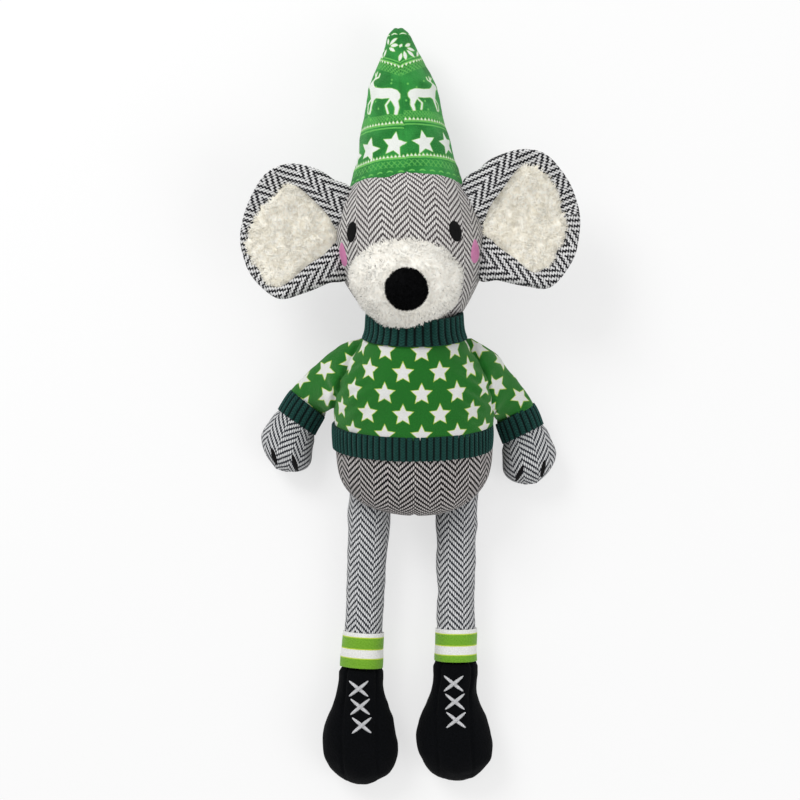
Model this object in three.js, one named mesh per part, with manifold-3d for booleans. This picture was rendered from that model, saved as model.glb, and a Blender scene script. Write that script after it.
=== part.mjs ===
// A plush mouse with a squeaker, lying on its back as it does on a floor.
// Millimetres. +X to the right of the viewer above it, +Y from feet to hat, +Z up toward the viewer.
import * as THREE from "three";
import { mergeVertices } from "three/addons/utils/BufferGeometryUtils.js";
import Module from "manifold-3d";

const wasm = await Module();
wasm.setup();

// Cloth and clearances
const gap = 0.3;
const tweedCloth = 1.2;
const fleeceCloth = 1.6;
const ribCloth = 2.9;
const pileCloth = 3.4;
const stitchHeight = 1.0;
const overrun = 60;
const floorShare = 20;

// Torso, measured along Y from the crotch to the neck
const torsoHeight = 102.5;
const torsoWidth = 80.4;
const torsoDepth = 60;
const torsoBackDepth = 29.3;
const torsoPitchDeg = 12.5;
const neckBallRadius = 21;
const collarHeight = 12.5;
const hemBottom = 34.6;
const hemHeight = 11.8;
const slitShare = 0.64;
const slitLength = 16;
const slitWidth = 1.2;
const rungLength = 5;
const rungCount = 5;

// Head
const headHeight = 86.5;
const headWidth = 79;
const headDepth = 77;
const headFlat = 1.5;
const headBelowNeck = 4;
const chestShare = 0.7;
const headLean = 4.6;
const muzzleWidth = 58;
const muzzleHeight = 47.4;
const muzzleDepth = 60;
const muzzleBelowMiddle = 20.5;
const muzzleForward = 21.5;
const muzzleAside = 2.1;
const noseDiameter = 21.2;
const noseBelowMiddle = 4.9;
const noseSink = 5.6;
const eyeWidth = 6.6;
const eyeHeight = 10.4;
const eyeSpacing = 54.3;
const eyesAside = 3.3;
const eyeAboveMiddle = 5.6;
const eyeTurnDeg = 12;
const cheekWidth = 10;
const cheekHeight = 12.6;
const cheekAngleDeg = 61.8;
const cheekTurnDeg = 2.6;
const cheekBelowMiddle = 4.8;

// Hat
const hatLength = 87.3;
const hatBrimRadius = 28.9;
const hatLeanDeg = 3.1;
const hatPitchDeg = 7.5;
const hatUp = 31;
const hatByEarsShare = 0.4;

// Ears
const earLength = 51.3;
const earHeight = 73;
const earThickness = 7;
const earRim = 2.6;
const earCup = 9;
const leftEarRiseDeg = 2;
const rightEarRiseDeg = 9;
const earRootOut = 37.2;
const leftEarRootUp = 4.5;
const rightEarRootUp = 8;
const earRootForward = 5.5;
const sherpaPile = 4.4;

// Arms
const armLength = 64;
const armRootWidth = 40;
const armDepth = 25;
const shoulderSpacing = 70;
const leftShoulderHeight = 74;
const rightShoulderHeight = 71.8;
const shoulderLevel = 34;
const handLevel = 11.2;
const leftArmSpreadDeg = 32.5;
const rightArmSpreadDeg = 23.5;
const clawLength = 7;
const clawWidth = 1.5;
const clawSlantDeg = 48;
const rootReach = 5;

// Legs, socks and boots
const legSpacing = 45.5;
const legRadius = 10.5;
const legLength = 86.8;
const legLevel = 12;
const hipHeight = 22;
const hipCrease = 5;
const calfShare = 0.6;
const leftLegLeanDeg = 2.9;
const rightLegLeanDeg = -0.1;
const rightLegLift = 2;
const sockHeight = 19.5;
const sockProud = 0.6;
const bootLength = 63.4;
const bootWidth = 40.6;
const bootDepth = 28;
const soleThickness = 2;
const laceWidth = 10.4;
const laceHeight = 8.2;
const laceThread = 1.5;
const lacePitch = 9.8;
const laceStart = 11;
const laceCount = 3;
const leftBootTurn = 1.5;
const rightBootTurn = -1;

// Squeaker
const squeakerDiameter = 40;
const squeakerThickness = 17;
const squeakerWall = 1.1;
const squeakerHeight = 52;
const squeakerLevel = 32;
const holderDiameter = 9;
const holderLength = 8;
const reedThickness = 0.8;
const reedWidth = 3;
const cupDepth = 9.4;
const cupCorner = 2.2;
const flangeDiameter = 13.5;
const boreDiameter = 5;
const cornerShare = 0.82;
const shoulderShare = 0.92;
const crownShare = 0.6;
const crownRiseShare = 0.86;

// How far each seam bends
const neckNod = [-15, 20];
const earFold = [-15, 60];
const armSwing = [-10, 60];
const hipSwing = [-15, 75];
const ankleSwing = [-10, 60];

// Facets round a body, its lining and an arm, rings along the torso and a lining, and how much rings
// close up at round ends
const bodySides = 22;
const liningSides = 12;
const muzzleSides = 20;
const muzzleLiningSides = 14;
const armSides = 14;
const torsoRings = 10;
const liningRings = 7;
const endCrowding = 0.6;

// Corners closer than this share of a gap are one corner
const weldShare = 0.001;

const degrees = Math.PI / 180;
const right = new THREE.Vector3(1, 0, 0);
const alongY = new THREE.Vector3(0, 1, 0);
const upward = new THREE.Vector3(0, 0, 1);
const toy = new THREE.Group();

const finishes = {
  tweed: { color: 0x8d8b8a, roughness: 0.95, metalness: 0 },
  pile: { color: 0xeeece6, roughness: 1, metalness: 0 },
  sherpa: { color: 0xebe8dc, roughness: 1, metalness: 0 },
  black: { color: 0x0a0c0e, roughness: 0.9, metalness: 0 },
  pink: { color: 0xd678ac, roughness: 0.7, metalness: 0 },
  green: { color: 0x2d842d, roughness: 0.9, metalness: 0 },
  hat: { color: 0x30913c, roughness: 0.9, metalness: 0 },
  rib: { color: 0x1f5b50, roughness: 0.95, metalness: 0 },
  sock: { color: 0x6ea52d, roughness: 0.9, metalness: 0 },
  thread: { color: 0xe8e8e8, roughness: 0.6, metalness: 0 },
  filling: { color: 0xf4f2ec, roughness: 1, metalness: 0 },
  plastic: { color: 0xe9e7df, roughness: 0.45, metalness: 0 },
};

// A closed mesh as a solid that can be cut and joined
function solidOf(geometry) {
  const bare = geometry.clone();
  bare.deleteAttribute("normal");
  bare.deleteAttribute("uv");
  const welded = mergeVertices(bare, gap * weldShare);
  const vertProperties = new Float32Array(welded.attributes.position.array);
  const triVerts = new Uint32Array(trianglesOf(welded).flat());
  const solid = new wasm.Manifold(new wasm.Mesh({ numProp: 3, vertProperties, triVerts }));
  return solid.volume() < 0 ? solidOf(turnedInsideOut(welded)) : solid;
}

// The triangles that have three different corners, which leaves out those squeezed flat at a pole
function trianglesOf(geometry) {
  const corners = Array.from(geometry.index.array);
  const triangles = [];
  for (let i = 0; i < corners.length; i += 3) {
    const triangle = corners.slice(i, i + 3);
    if (new Set(triangle).size === 3) {
      triangles.push(triangle);
    }
  }
  return triangles;
}

function turnedInsideOut(geometry) {
  const turned = geometry.clone();
  const index = turned.index.array;
  for (let i = 0; i < index.length; i += 3) {
    const kept = index[i];
    index[i] = index[i + 1];
    index[i + 1] = kept;
  }
  return turned;
}

function geometryOf(solid) {
  const mesh = solid.getMesh();
  const geometry = new THREE.BufferGeometry();
  geometry.setAttribute("position", new THREE.BufferAttribute(mesh.vertProperties, 3));
  geometry.setIndex(new THREE.BufferAttribute(mesh.triVerts, 1));
  return geometry;
}

function addPiece(name, solid, finish) {
  const material = new THREE.MeshStandardMaterial(finishes[finish]);
  const mesh = new THREE.Mesh(geometryOf(solid), material);
  mesh.name = name;
  toy.add(mesh);
}

// A stuffed form: oval sections along a path, each with a centre, a half width and a half depth vector.
// Between its stations every value runs on a smooth curve. Shares count along the path from 0 to 1.
class Form {
  constructor(stations) {
    this.shares = stations.map((station) => station.share);
    this.centres = new THREE.CatmullRomCurve3(stations.map((station) => station.centre));
    this.acrosses = new THREE.CatmullRomCurve3(stations.map((station) => station.across));
    this.towards = new THREE.CatmullRomCurve3(stations.map((station) => station.toward));
    for (const curve of [this.centres, this.acrosses, this.towards]) {
      curve.curveType = "catmullrom";
      curve.tension = 0.5;
    }
  }

  section(share) {
    const last = this.shares.length - 1;
    let i = 0;
    while (i < last - 1 && this.shares[i + 1] < share) {
      i += 1;
    }
    const span = this.shares[i + 1] - this.shares[i];
    const t = THREE.MathUtils.clamp((i + (share - this.shares[i]) / span) / last, 0, 1);
    return {
      centre: this.centres.getPoint(t),
      across: this.acrosses.getPoint(t),
      toward: this.towards.getPoint(t),
    };
  }

  // The form between two shares, grown all round, with its ends pushed out by endGrow
  geometry({ from = 0, to = 1, rings, sides, crowding = 0, grow = 0, endGrow = grow, startGrow = endGrow }) {
    const sections = [];
    for (let k = 0; k <= rings; k += 1) {
      const turn = (2 * Math.PI * k) / rings;
      const eased = (turn - crowding * Math.sin(turn)) / (2 * Math.PI);
      sections.push(this.section(from + (to - from) * eased));
    }
    const start = sections[0].centre.clone().sub(sections[1].centre).normalize();
    const finish = sections[rings].centre.clone().sub(sections[rings - 1].centre).normalize();
    sections[0].centre.addScaledVector(start, startGrow);
    sections[rings].centre.addScaledVector(finish, endGrow);
    const points = [];
    for (const { centre, across, toward } of sections) {
      const halfWidth = across.length() + grow;
      const halfDepth = toward.length() + grow;
      for (let k = 0; k < sides; k += 1) {
        const angle = (2 * Math.PI * k) / sides;
        const point = centre.clone();
        point.addScaledVector(across.clone().normalize(), halfWidth * Math.cos(angle));
        point.addScaledVector(toward.clone().normalize(), halfDepth * Math.sin(angle));
        points.push(point);
      }
    }
    return ringsGeometry(points, sides, sections[0].centre, sections[rings].centre);
  }

  solid(options) {
    return solidOf(this.geometry(options));
  }
}

// Rings of points joined to a closed skin, with a fan at either end
function ringsGeometry(points, sides, firstPole, lastPole) {
  const rings = points.length / sides;
  const all = [...points, firstPole, lastPole];
  const first = points.length;
  const index = [];
  for (let k = 0; k < sides; k += 1) {
    const next = (k + 1) % sides;
    for (let r = 0; r < rings - 1; r += 1) {
      const here = r * sides;
      const above = here + sides;
      index.push(here + k, here + next, above + next, here + k, above + next, above + k);
    }
    const top = (rings - 1) * sides;
    index.push(first, next, k, first + 1, top + k, top + next);
  }
  const geometry = new THREE.BufferGeometry();
  const flat = all.flatMap((point) => point.toArray());
  geometry.setAttribute("position", new THREE.Float32BufferAttribute(flat, 3));
  geometry.setIndex(index);
  return geometry;
}

function ball(radius, centre, sides, rings, { x, y, z } = new THREE.Vector3(1, 1, 1)) {
  const geometry = new THREE.SphereGeometry(radius, sides, rings);
  geometry.rotateX(Math.PI / 2);
  geometry.scale(x, y, z);
  geometry.translate(centre.x, centre.y, centre.z);
  return geometry;
}

// Everything below a level, as wide as any piece
function floorBlock(level) {
  const geometry = new THREE.BoxGeometry(floorShare * overrun, floorShare * overrun, overrun);
  geometry.translate(0, 0, level - overrun / 2);
  return solidOf(geometry);
}

function turnedAbout(geometry, hinge, angleDeg) {
  const turn = new THREE.Matrix4().makeRotationAxis(hinge.axis, angleDeg * degrees);
  const there = new THREE.Matrix4().makeTranslation(...hinge.point.clone().negate().toArray());
  const back = new THREE.Matrix4().makeTranslation(...hinge.point.toArray());
  return geometry.clone().applyMatrix4(back.multiply(turn).multiply(there));
}

// What a carried piece has to leave free while it bends over its range on the body that carries it:
// the carrier's place at rest, at both ends of the range and at as many steps between as asked for
function clearedOf(solid, carriers, hinge, [lowest, highest], steps = 0) {
  const angles = [0, lowest, highest];
  for (let k = 1; k <= steps; k += 1) {
    angles.push((highest * k) / (steps + 1));
  }
  let left = solid;
  for (const angle of angles) {
    for (const carrier of carriers) {
      left = left.subtract(solidOf(turnedAbout(carrier, hinge, -angle)));
    }
  }
  return left;
}

const floorLevel = 0;
const floor = floorBlock(floorLevel);

// Torso: sections square to a line that rises from the seat to the neck
const torsoShares = [
  [0, 0.14, 0.16],
  [0.03, 0.5, 0.48],
  [0.093, 0.78, 0.77],
  [0.2, 0.955, 0.935],
  [0.376, 1, 1],
  [0.54, 0.985, 0.985],
  [0.69, 0.915, 0.95],
  [0.805, 0.74, 0.88],
  [0.9, 0.6, 0.79],
  [1, 0.57, 0.73],
];
const torsoLine = new THREE.Vector3(0, Math.cos(torsoPitchDeg * degrees), Math.sin(torsoPitchDeg * degrees));
const torsoFront = new THREE.Vector3(0, -torsoLine.z, torsoLine.y);
const torsoSlope = torsoLine.z / torsoLine.y;
const torsoSeatShare = 0.376;

function torsoMiddle(share) {
  const along = share * torsoHeight;
  const rise = (share - torsoSeatShare) * torsoHeight * torsoSlope;
  return new THREE.Vector3(0, along, torsoBackDepth + rise);
}

const torso = new Form(
  torsoShares.map(([share, width, depth]) => ({
    share,
    centre: torsoMiddle(share),
    across: right.clone().multiplyScalar((width * torsoWidth) / 2),
    toward: torsoFront.clone().multiplyScalar((depth * torsoDepth) / 2),
  })),
);

const neck = { point: torsoMiddle(1), axis: right.clone() };
const dressed = gap + fleeceCloth;
const collarStart = 1 - collarHeight / torsoHeight;
const hemStart = hemBottom / torsoHeight;
const hemEnd = (hemBottom + hemHeight) / torsoHeight;
const seamShare = gap / torsoHeight;

const torsoShape = { rings: torsoRings, sides: bodySides };

// A band of cloth round the torso between two shares
function torsoBand(from, to, cloth, rings) {
  const outside = torso.solid({ from, to, rings, sides: bodySides, grow: gap + cloth, endGrow: 0 });
  const inside = torso.solid({ ...torsoShape, grow: gap });
  return outside.subtract(inside).subtract(floor);
}

const neckBall = ball(neckBallRadius, neck.point, bodySides, torsoRings);
const torsoOutside = torso.solid(torsoShape).add(solidOf(neckBall)).subtract(floor);
const torsoInside = torso
  .solid({ rings: liningRings, sides: liningSides, grow: -tweedCloth })
  .add(solidOf(ball(neckBallRadius - tweedCloth, neck.point, armSides, liningRings)));

// The slit down the back where the filling goes in, closed by a ladder of hand stitches over the jumper
const slitPlace = torsoMiddle(slitShare);
const slitBlock = new THREE.BoxGeometry(slitWidth, slitLength, overrun);
slitBlock.translate(slitPlace.x, slitPlace.y, slitPlace.z - overrun / 2);
const slit = solidOf(slitBlock);
addPiece("torso_skin", torsoOutside.subtract(torsoInside).subtract(slit), "tweed");

// A straight run of thread as a prism through the place it is laid on, toward the viewer or away
function stitchBar(width, length, place, turnDeg, side = 1) {
  const geometry = new THREE.BoxGeometry(width, length, overrun);
  geometry.rotateZ(turnDeg * degrees);
  geometry.translate(place.x, place.y, place.z + (side * overrun) / 2);
  return solidOf(geometry);
}

// A thin layer just clear of a form's surface, which embroidery and stitches are cut from
function layerOf(form, shape, under = 0) {
  const inner = form.solid({ ...shape, grow: under + gap });
  return form.solid({ ...shape, grow: under + gap + stitchHeight }).subtract(inner);
}

let ladder = stitchBar(laceThread, slitLength, slitPlace, 0, -1);
for (let k = 0; k < rungCount; k += 1) {
  const rungPlace = slitPlace.clone();
  rungPlace.y += slitLength * ((k + 1 / 2) / rungCount - 1 / 2);
  ladder = ladder.add(stitchBar(rungLength, laceThread, rungPlace, 0, -1));
}
addPiece("closing_stitch", ladder.intersect(layerOf(torso, torsoShape, dressed)).subtract(floor), "thread");

const jumperBand = torsoBand(hemEnd + seamShare, collarStart - seamShare, fleeceCloth, 6);
addPiece("jumper_body", jumperBand.subtract(slit), "green");
addPiece("jumper_hem", torsoBand(hemStart, hemEnd, ribCloth, 2), "rib");
addPiece("jumper_collar", torsoBand(collarStart, 1, ribCloth, 2), "rib");

// Squeaker: a plastic cup with a sprung dome in its mouth, and a reed in a holder in its floor
const squeakerCentre = new THREE.Vector3(0, squeakerHeight, squeakerLevel);
const squeakerRadius = squeakerDiameter / 2;

function turned(profile) {
  const geometry = new THREE.LatheGeometry(profile.map(([r, z]) => new THREE.Vector2(r, z)), armSides);
  geometry.rotateX(Math.PI / 2);
  geometry.translate(...squeakerCentre.toArray());
  return solidOf(geometry);
}

const cupFloor = -squeakerThickness / 2;
const cupRim = cupFloor + cupDepth;
const holderRadius = holderDiameter / 2;
const cornerRadius = squeakerRadius * cornerShare;
const rearShell = turned([
  [holderRadius + gap, cupFloor],
  [cornerRadius, cupFloor],
  [squeakerRadius, cupFloor + cupCorner],
  [squeakerRadius, cupRim],
  [squeakerRadius - squeakerWall, cupRim],
  [squeakerRadius - squeakerWall, cupFloor + cupCorner + squeakerWall / 2],
  [cornerRadius - squeakerWall / 2, cupFloor + squeakerWall],
  [holderRadius + gap, cupFloor + squeakerWall],
  [holderRadius + gap, cupFloor],
]);
addPiece("squeaker_rear_shell", rearShell, "plastic");

const domeRadius = squeakerRadius - squeakerWall - gap;
const domeTop = squeakerThickness / 2;
const domeLip = cupRim - squeakerWall;
const domeShoulder = (domeTop + cupRim) / 2;
const shoulderRadius = domeRadius * shoulderShare;
const crownRadius = domeRadius * crownShare;
const crownRise = domeTop * crownRiseShare;
addPiece(
  "squeaker_front_dome",
  turned([
    [0, domeTop],
    [crownRadius, crownRise],
    [shoulderRadius, domeShoulder],
    [domeRadius, cupRim],
    [domeRadius, domeLip],
    [domeRadius - squeakerWall, domeLip],
    [domeRadius - squeakerWall, cupRim - squeakerWall / 2],
    [shoulderRadius - squeakerWall, domeShoulder - squeakerWall],
    [crownRadius, crownRise - squeakerWall],
    [0, domeTop - squeakerWall],
  ]),
  "plastic",
);

const flangeRadius = flangeDiameter / 2;
const boreRadius = boreDiameter / 2;
const holderBack = cupFloor - gap - squeakerWall;
addPiece(
  "squeaker_reed_holder",
  turned([
    [boreRadius, holderBack],
    [flangeRadius, holderBack],
    [flangeRadius, holderBack + squeakerWall],
    [holderRadius, holderBack + squeakerWall],
    [holderRadius, holderBack + holderLength / 2],
    [boreRadius, holderBack + holderLength / 2],
    [boreRadius, holderBack],
  ]),
  "plastic",
);
const reed = new THREE.BoxGeometry(reedWidth, reedThickness, holderLength / 2 - gap);
reed.translate(squeakerCentre.x, squeakerCentre.y, squeakerCentre.z + holderBack + holderLength / 4);
addPiece("squeaker_reed", solidOf(reed), "plastic");

// The torso's filling, with a pocket for the squeaker and a slot to it from the slit
const pocketRadius = squeakerRadius + gap;
const pocketBack = holderBack - gap;
const pocketFront = domeTop + gap;
const pocket = turned([
  [0, pocketBack],
  [flangeRadius + gap, pocketBack],
  [flangeRadius + gap, cupFloor - gap],
  [cornerRadius + gap, cupFloor - gap],
  [pocketRadius, cupFloor + cupCorner - gap],
  [pocketRadius, cupRim + gap],
  [shoulderRadius + 2 * gap, domeShoulder + gap],
  [crownRadius, crownRise + 2 * gap],
  [0, pocketFront],
]);
const torsoFilling = torso
  .solid({ rings: liningRings, sides: liningSides, grow: -tweedCloth - gap })
  .add(solidOf(ball(neckBallRadius - tweedCloth - gap, neck.point, armSides, liningRings)));
const floorInside = floorBlock(floorLevel + tweedCloth + gap);
addPiece("torso_stuffing", torsoFilling.subtract(pocket).subtract(slit).subtract(floorInside), "filling");

// Head
const headShares = [
  [0, 0.5, 0.48],
  [0.092, 0.66, 0.65],
  [0.197, 0.81, 0.83],
  [0.324, 0.945, 0.95],
  [0.486, 1, 1],
  [0.66, 0.962, 0.975],
  [0.8, 0.835, 0.86],
  [0.9, 0.635, 0.68],
  [0.97, 0.355, 0.39],
  [1, 0.1, 0.1],
];
const headBottom = neck.point.y - headBelowNeck;
const headLevel = headDepth / 2 - headFlat;
const headMiddleShare = 0.486;

function headMiddle(share) {
  return new THREE.Vector3(-headLean * share, headBottom + share * headHeight, headLevel);
}

const head = new Form(
  headShares.map(([share, width, depth]) => ({
    share,
    centre: headMiddle(share),
    across: right.clone().multiplyScalar((width * headWidth) / 2),
    toward: upward.clone().multiplyScalar((depth * headDepth) / 2),
  })),
);
const headCore = headMiddle(headMiddleShare);
const headShape = { rings: 11, sides: bodySides, crowding: endCrowding };
const headLining = { rings: liningRings, sides: liningSides, crowding: endCrowding };

// What the head bends over: the neck's ball, the collar and the chest below it
const neckRoom = 3 * gap;
const neckSeat = ball(neckBallRadius + neckRoom, neck.point, bodySides, torsoRings);
const chestShape = { from: chestShare, rings: 3, sides: bodySides };
const chest = torso.geometry({ ...chestShape, grow: neckRoom + ribCloth, endGrow: neckRoom });

function headPiece(solid, steps) {
  return clearedOf(solid.subtract(solidOf(neckSeat)), [chest], neck, neckNod, steps);
}

const headOutside = head.solid(headShape).subtract(floor);
const headFloor = floorBlock(floorLevel + tweedCloth);
const headInside = head.solid({ ...headLining, grow: -tweedCloth }).subtract(headFloor);
addPiece("head_skin", headPiece(headOutside.subtract(headInside)), "tweed");
const headFilling = head.solid({ ...headLining, grow: -tweedCloth - gap }).subtract(floorInside);
addPiece("head_stuffing", headPiece(headFilling), "filling");
const headSeat = head.solid({ ...headShape, grow: gap });

// Muzzle and nose
const muzzleCentre = headCore.clone().add(new THREE.Vector3(-muzzleAside, -muzzleBelowMiddle, muzzleForward));

function muzzleBall(grow, sides = muzzleSides, rings = muzzleSides / 2) {
  const scale = new THREE.Vector3(muzzleWidth / 2 + grow, muzzleHeight / 2 + grow, muzzleDepth / 2 + grow);
  return ball(1, muzzleCentre, sides, rings, scale);
}

const muzzleOutside = solidOf(muzzleBall(0));
const muzzleLining = (grow) => muzzleBall(grow, muzzleLiningSides, muzzleLiningSides / 2);
const muzzleSkin = muzzleOutside.subtract(solidOf(muzzleLining(-pileCloth))).subtract(headSeat);
addPiece("muzzle_skin", headPiece(muzzleSkin, 1), "pile");
const muzzleFilling = solidOf(muzzleLining(-pileCloth - gap)).subtract(headSeat);
addPiece("muzzle_stuffing", headPiece(muzzleFilling, 1), "filling");

const noseRadius = noseDiameter / 2;
const nosePlace = muzzleCentre.clone();
nosePlace.y -= noseBelowMiddle;
nosePlace.z += muzzleDepth / 2 + noseRadius - noseSink;
const nose = solidOf(ball(noseRadius, nosePlace, 16, 9)).subtract(solidOf(muzzleBall(gap)));
addPiece("nose", nose, "black");

// An upright oval pushed outward from a place inside a form
function ovalPrism(width, height, place, outward, turnDeg) {
  const outline = new THREE.Shape();
  outline.absellipse(0, 0, width / 2, height / 2, 0, 2 * Math.PI, false, turnDeg * degrees);
  const settings = { depth: overrun, bevelEnabled: false, curveSegments: 9 };
  const geometry = new THREE.ExtrudeGeometry(outline, settings);
  const facing = new THREE.Quaternion().setFromUnitVectors(upward, outward);
  geometry.applyQuaternion(facing);
  geometry.translate(...place.toArray());
  return geometry;
}

const headLayer = layerOf(head, headShape).subtract(solidOf(muzzleBall(gap)));
const sidesOfToy = [
  {
    name: "left",
    sign: -1,
    earRiseDeg: leftEarRiseDeg,
    earUp: leftEarRootUp,
    shoulderUp: leftShoulderHeight,
    spreadDeg: leftArmSpreadDeg,
    legLeanDeg: leftLegLeanDeg,
    legRise: 0,
    bootTurn: leftBootTurn,
  },
  {
    name: "right",
    sign: 1,
    earRiseDeg: rightEarRiseDeg,
    earUp: rightEarRootUp,
    shoulderUp: rightShoulderHeight,
    spreadDeg: rightArmSpreadDeg,
    legLeanDeg: rightLegLeanDeg,
    legRise: rightLegLift,
    bootTurn: rightBootTurn,
  },
];

for (const { name, sign } of sidesOfToy) {
  const eyePlace = headCore.clone();
  eyePlace.x += (sign * eyeSpacing) / 2 - eyesAside;
  eyePlace.y += eyeAboveMiddle;
  const eye = solidOf(ovalPrism(eyeWidth, eyeHeight, eyePlace, upward, sign * eyeTurnDeg));
  addPiece(`eye_${name}`, eye.intersect(headLayer), "black");
  const cheekDeg = sign * cheekAngleDeg - cheekTurnDeg;
  const outward = upward.clone().applyAxisAngle(alongY, cheekDeg * degrees);
  const cheekPlace = headCore.clone();
  cheekPlace.y -= cheekBelowMiddle;
  const cheek = solidOf(ovalPrism(cheekWidth, cheekHeight, cheekPlace, outward, 0));
  addPiece(`cheek_${name}`, cheek.intersect(headLayer), "pink");
}

// Hat: a stuffed cone sewn round the crown
const hatShares = [
  [-0.03, 1.02],
  [0, 1],
  [0.13, 0.91],
  [0.25, 0.84],
  [0.4, 0.75],
  [0.57, 0.635],
  [0.64, 0.59],
  [0.765, 0.42],
  [0.88, 0.275],
  [0.96, 0.19],
  [1, 0.08],
];
const hatLean = -Math.sin(hatLeanDeg * degrees);
const hatLine = new THREE.Vector3(hatLean, 1, -Math.sin(hatPitchDeg * degrees)).normalize();
const hatAcross = new THREE.Vector3().crossVectors(hatLine, upward).normalize();
const hatToward = new THREE.Vector3().crossVectors(hatAcross, hatLine).normalize();
const hatRoot = headCore.clone().addScaledVector(hatLine, hatUp);
const hat = new Form(
  hatShares.map(([share, radius]) => ({
    share,
    centre: hatRoot.clone().addScaledVector(hatLine, share * hatLength),
    across: hatAcross.clone().multiplyScalar(radius * hatBrimRadius),
    toward: hatToward.clone().multiplyScalar(radius * hatBrimRadius),
  })),
);
const hatFrom = hatShares[0][0];
const hatShape = { from: hatFrom, rings: 9, sides: bodySides, endGrow: 0 };
const hatInside = { from: hatFrom, rings: 6, sides: liningSides, endGrow: 0 };
const hatSkin = hat
  .solid(hatShape)
  .subtract(hat.solid({ ...hatInside, grow: -fleeceCloth }).subtract(tipBlock(hat, fleeceCloth)))
  .subtract(headSeat);
addPiece("hat_skin", hatSkin, "hat");
const hatFilling = hat
  .solid({ ...hatInside, grow: -fleeceCloth - gap })
  .subtract(tipBlock(hat, fleeceCloth + gap))
  .subtract(headSeat);
addPiece("hat_stuffing", hatFilling, "filling");

// What lies within a thickness of a form's far end, where its wall closes over the filling
function tipBlock(form, thickness) {
  const { centre } = form.section(1);
  return solidOf(ball(2 * thickness, centre, liningSides, liningSides / 2));
}

// Ears: a cupped back of tweed, with its rim rolled forward round a lining of sherpa
const earOutlineShares = [
  [-0.14, 0.64],
  [0.08, 0.78],
  [0.25, 0.93],
  [0.53, 1],
  [0.77, 0.84],
  [0.94, 0.44],
  [1, 0.02],
  [0.97, -0.3],
  [0.86, -0.66],
  [0.6, -0.97],
  [0.35, -0.9],
  [0.1, -0.76],
  [-0.14, -0.62],
];
const liningOutlineShares = [
  [0.05, 0.2],
  [0.27, 0.56],
  [0.49, 0.78],
  [0.74, 0.6],
  [0.9, 0.08],
  [0.87, -0.28],
  [0.58, -0.74],
  [0.28, -0.46],
  [0.07, -0.2],
];
const earMiddleShares = [0.48, 0];

// The outline as a smooth loop of points in the ear's own plane, out from the root and up
function earLoop(outline, count) {
  const corners = outline.map(([out, up]) => new THREE.Vector3(out * earLength, (up * earHeight) / 2, 0));
  return new THREE.CatmullRomCurve3(corners, true, "catmullrom", 0.5).getSpacedPoints(count).slice(0, count);
}

// A sheet with the ear's cup, from levels that run outward under it and back over it
function earSheet(outline, count, levels) {
  const loop = earLoop(outline, count);
  const middle = new THREE.Vector3(earMiddleShares[0] * earLength, earMiddleShares[1] * earHeight, 0);
  const points = [];
  const lifted = (point, level) => {
    const up = point.y / (earHeight / 2);
    return new THREE.Vector3(point.x, point.y, earCup * up * up + level);
  };
  for (const [reach, level, inset] of levels) {
    for (const edge of loop) {
      const point = edge.clone().sub(middle);
      point.setLength(point.length() * reach + inset).add(middle);
      points.push(lifted(point, level));
    }
  }
  const firstPole = lifted(middle, levels[0][1]);
  const lastPole = lifted(middle, levels[levels.length - 1][1]);
  return ringsGeometry(points, count, firstPole, lastPole);
}

function earPlaced(geometry, side) {
  const placed = geometry.clone();
  placed.rotateZ(side.earRiseDeg * degrees);
  placed.translate(earRootOut, 0, 0);
  if (side.sign < 0) {
    placed.scale(-1, 1, 1);
  }
  placed.translate(headCore.x, headCore.y + side.earUp, headCore.z + earRootForward);
  return placed;
}

function earHinge(side) {
  const lift = side.earRiseDeg * degrees;
  const point = new THREE.Vector3(
    headCore.x + side.sign * earRootOut,
    headCore.y + side.earUp,
    headCore.z + earRootForward + earThickness / 2,
  );
  return { point, axis: new THREE.Vector3(Math.sin(lift), -side.sign * Math.cos(lift), 0) };
}

// Rows run from the middle under a sheet round its edge and back over it: the reach as a share of the
// outline, the level as a share of half the back's thickness, the pile's share above that, the edge's growth
const halfThick = earThickness / 2;
const clothUnder = -tweedCloth / 2;
const earBackShares = [
  [0.45, -1, 0, 0],
  [0.8, -0.9, 0, 0],
  [1, -0.3, 0, -gap],
  [1, 0.5, 0, 0],
  [1, 1, 0, -earRim / 2],
  [1, 0.7, 0, -earRim],
  [0.45, 0.4, 0, 0],
];
const liningShares = [
  [1, 0.7, 0, gap],
  [0.9, 0.7, 0.7, 0],
  [0.5, 0.7, 1, 0],
];
const earBackLevels = levelRows(earBackShares, 0);
const liningLevels = [[0.55, clothUnder, 0], [1, clothUnder, 0], ...levelRows(liningShares, 0)];
const liningPocketLevels = [
  [0.55, clothUnder - gap, gap],
  [1, clothUnder - gap, gap],
  ...levelRows(liningShares, gap),
];

function levelRows(shares, clear) {
  return shares.map(([reach, thickShare, pileShare, edge]) => [
    reach,
    thickShare * halfThick + pileShare * (sherpaPile + clear),
    edge + clear,
  ]);
}

const headForEars = head.geometry({ ...headShape, grow: gap });
const hatForEars = hat.geometry({ ...hatShape, grow: gap, to: hatByEarsShare, rings: 3 });

for (const side of sidesOfToy) {
  const hinge = earHinge(side);
  const back = solidOf(earPlaced(earSheet(earOutlineShares, 22, earBackLevels), side));
  const pocketForLining = solidOf(earPlaced(earSheet(liningOutlineShares, 16, liningPocketLevels), side));
  const lining = solidOf(earPlaced(earSheet(liningOutlineShares, 16, liningLevels), side));
  const carriers = [headForEars, hatForEars];
  const cleared = (solid) => clearedOf(solid, carriers, hinge, earFold, 1);
  addPiece(`ear_back_${side.name}`, cleared(back.subtract(pocketForLining)), "tweed");
  addPiece(`ear_lining_${side.name}`, cleared(lining), "sherpa");
}

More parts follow.
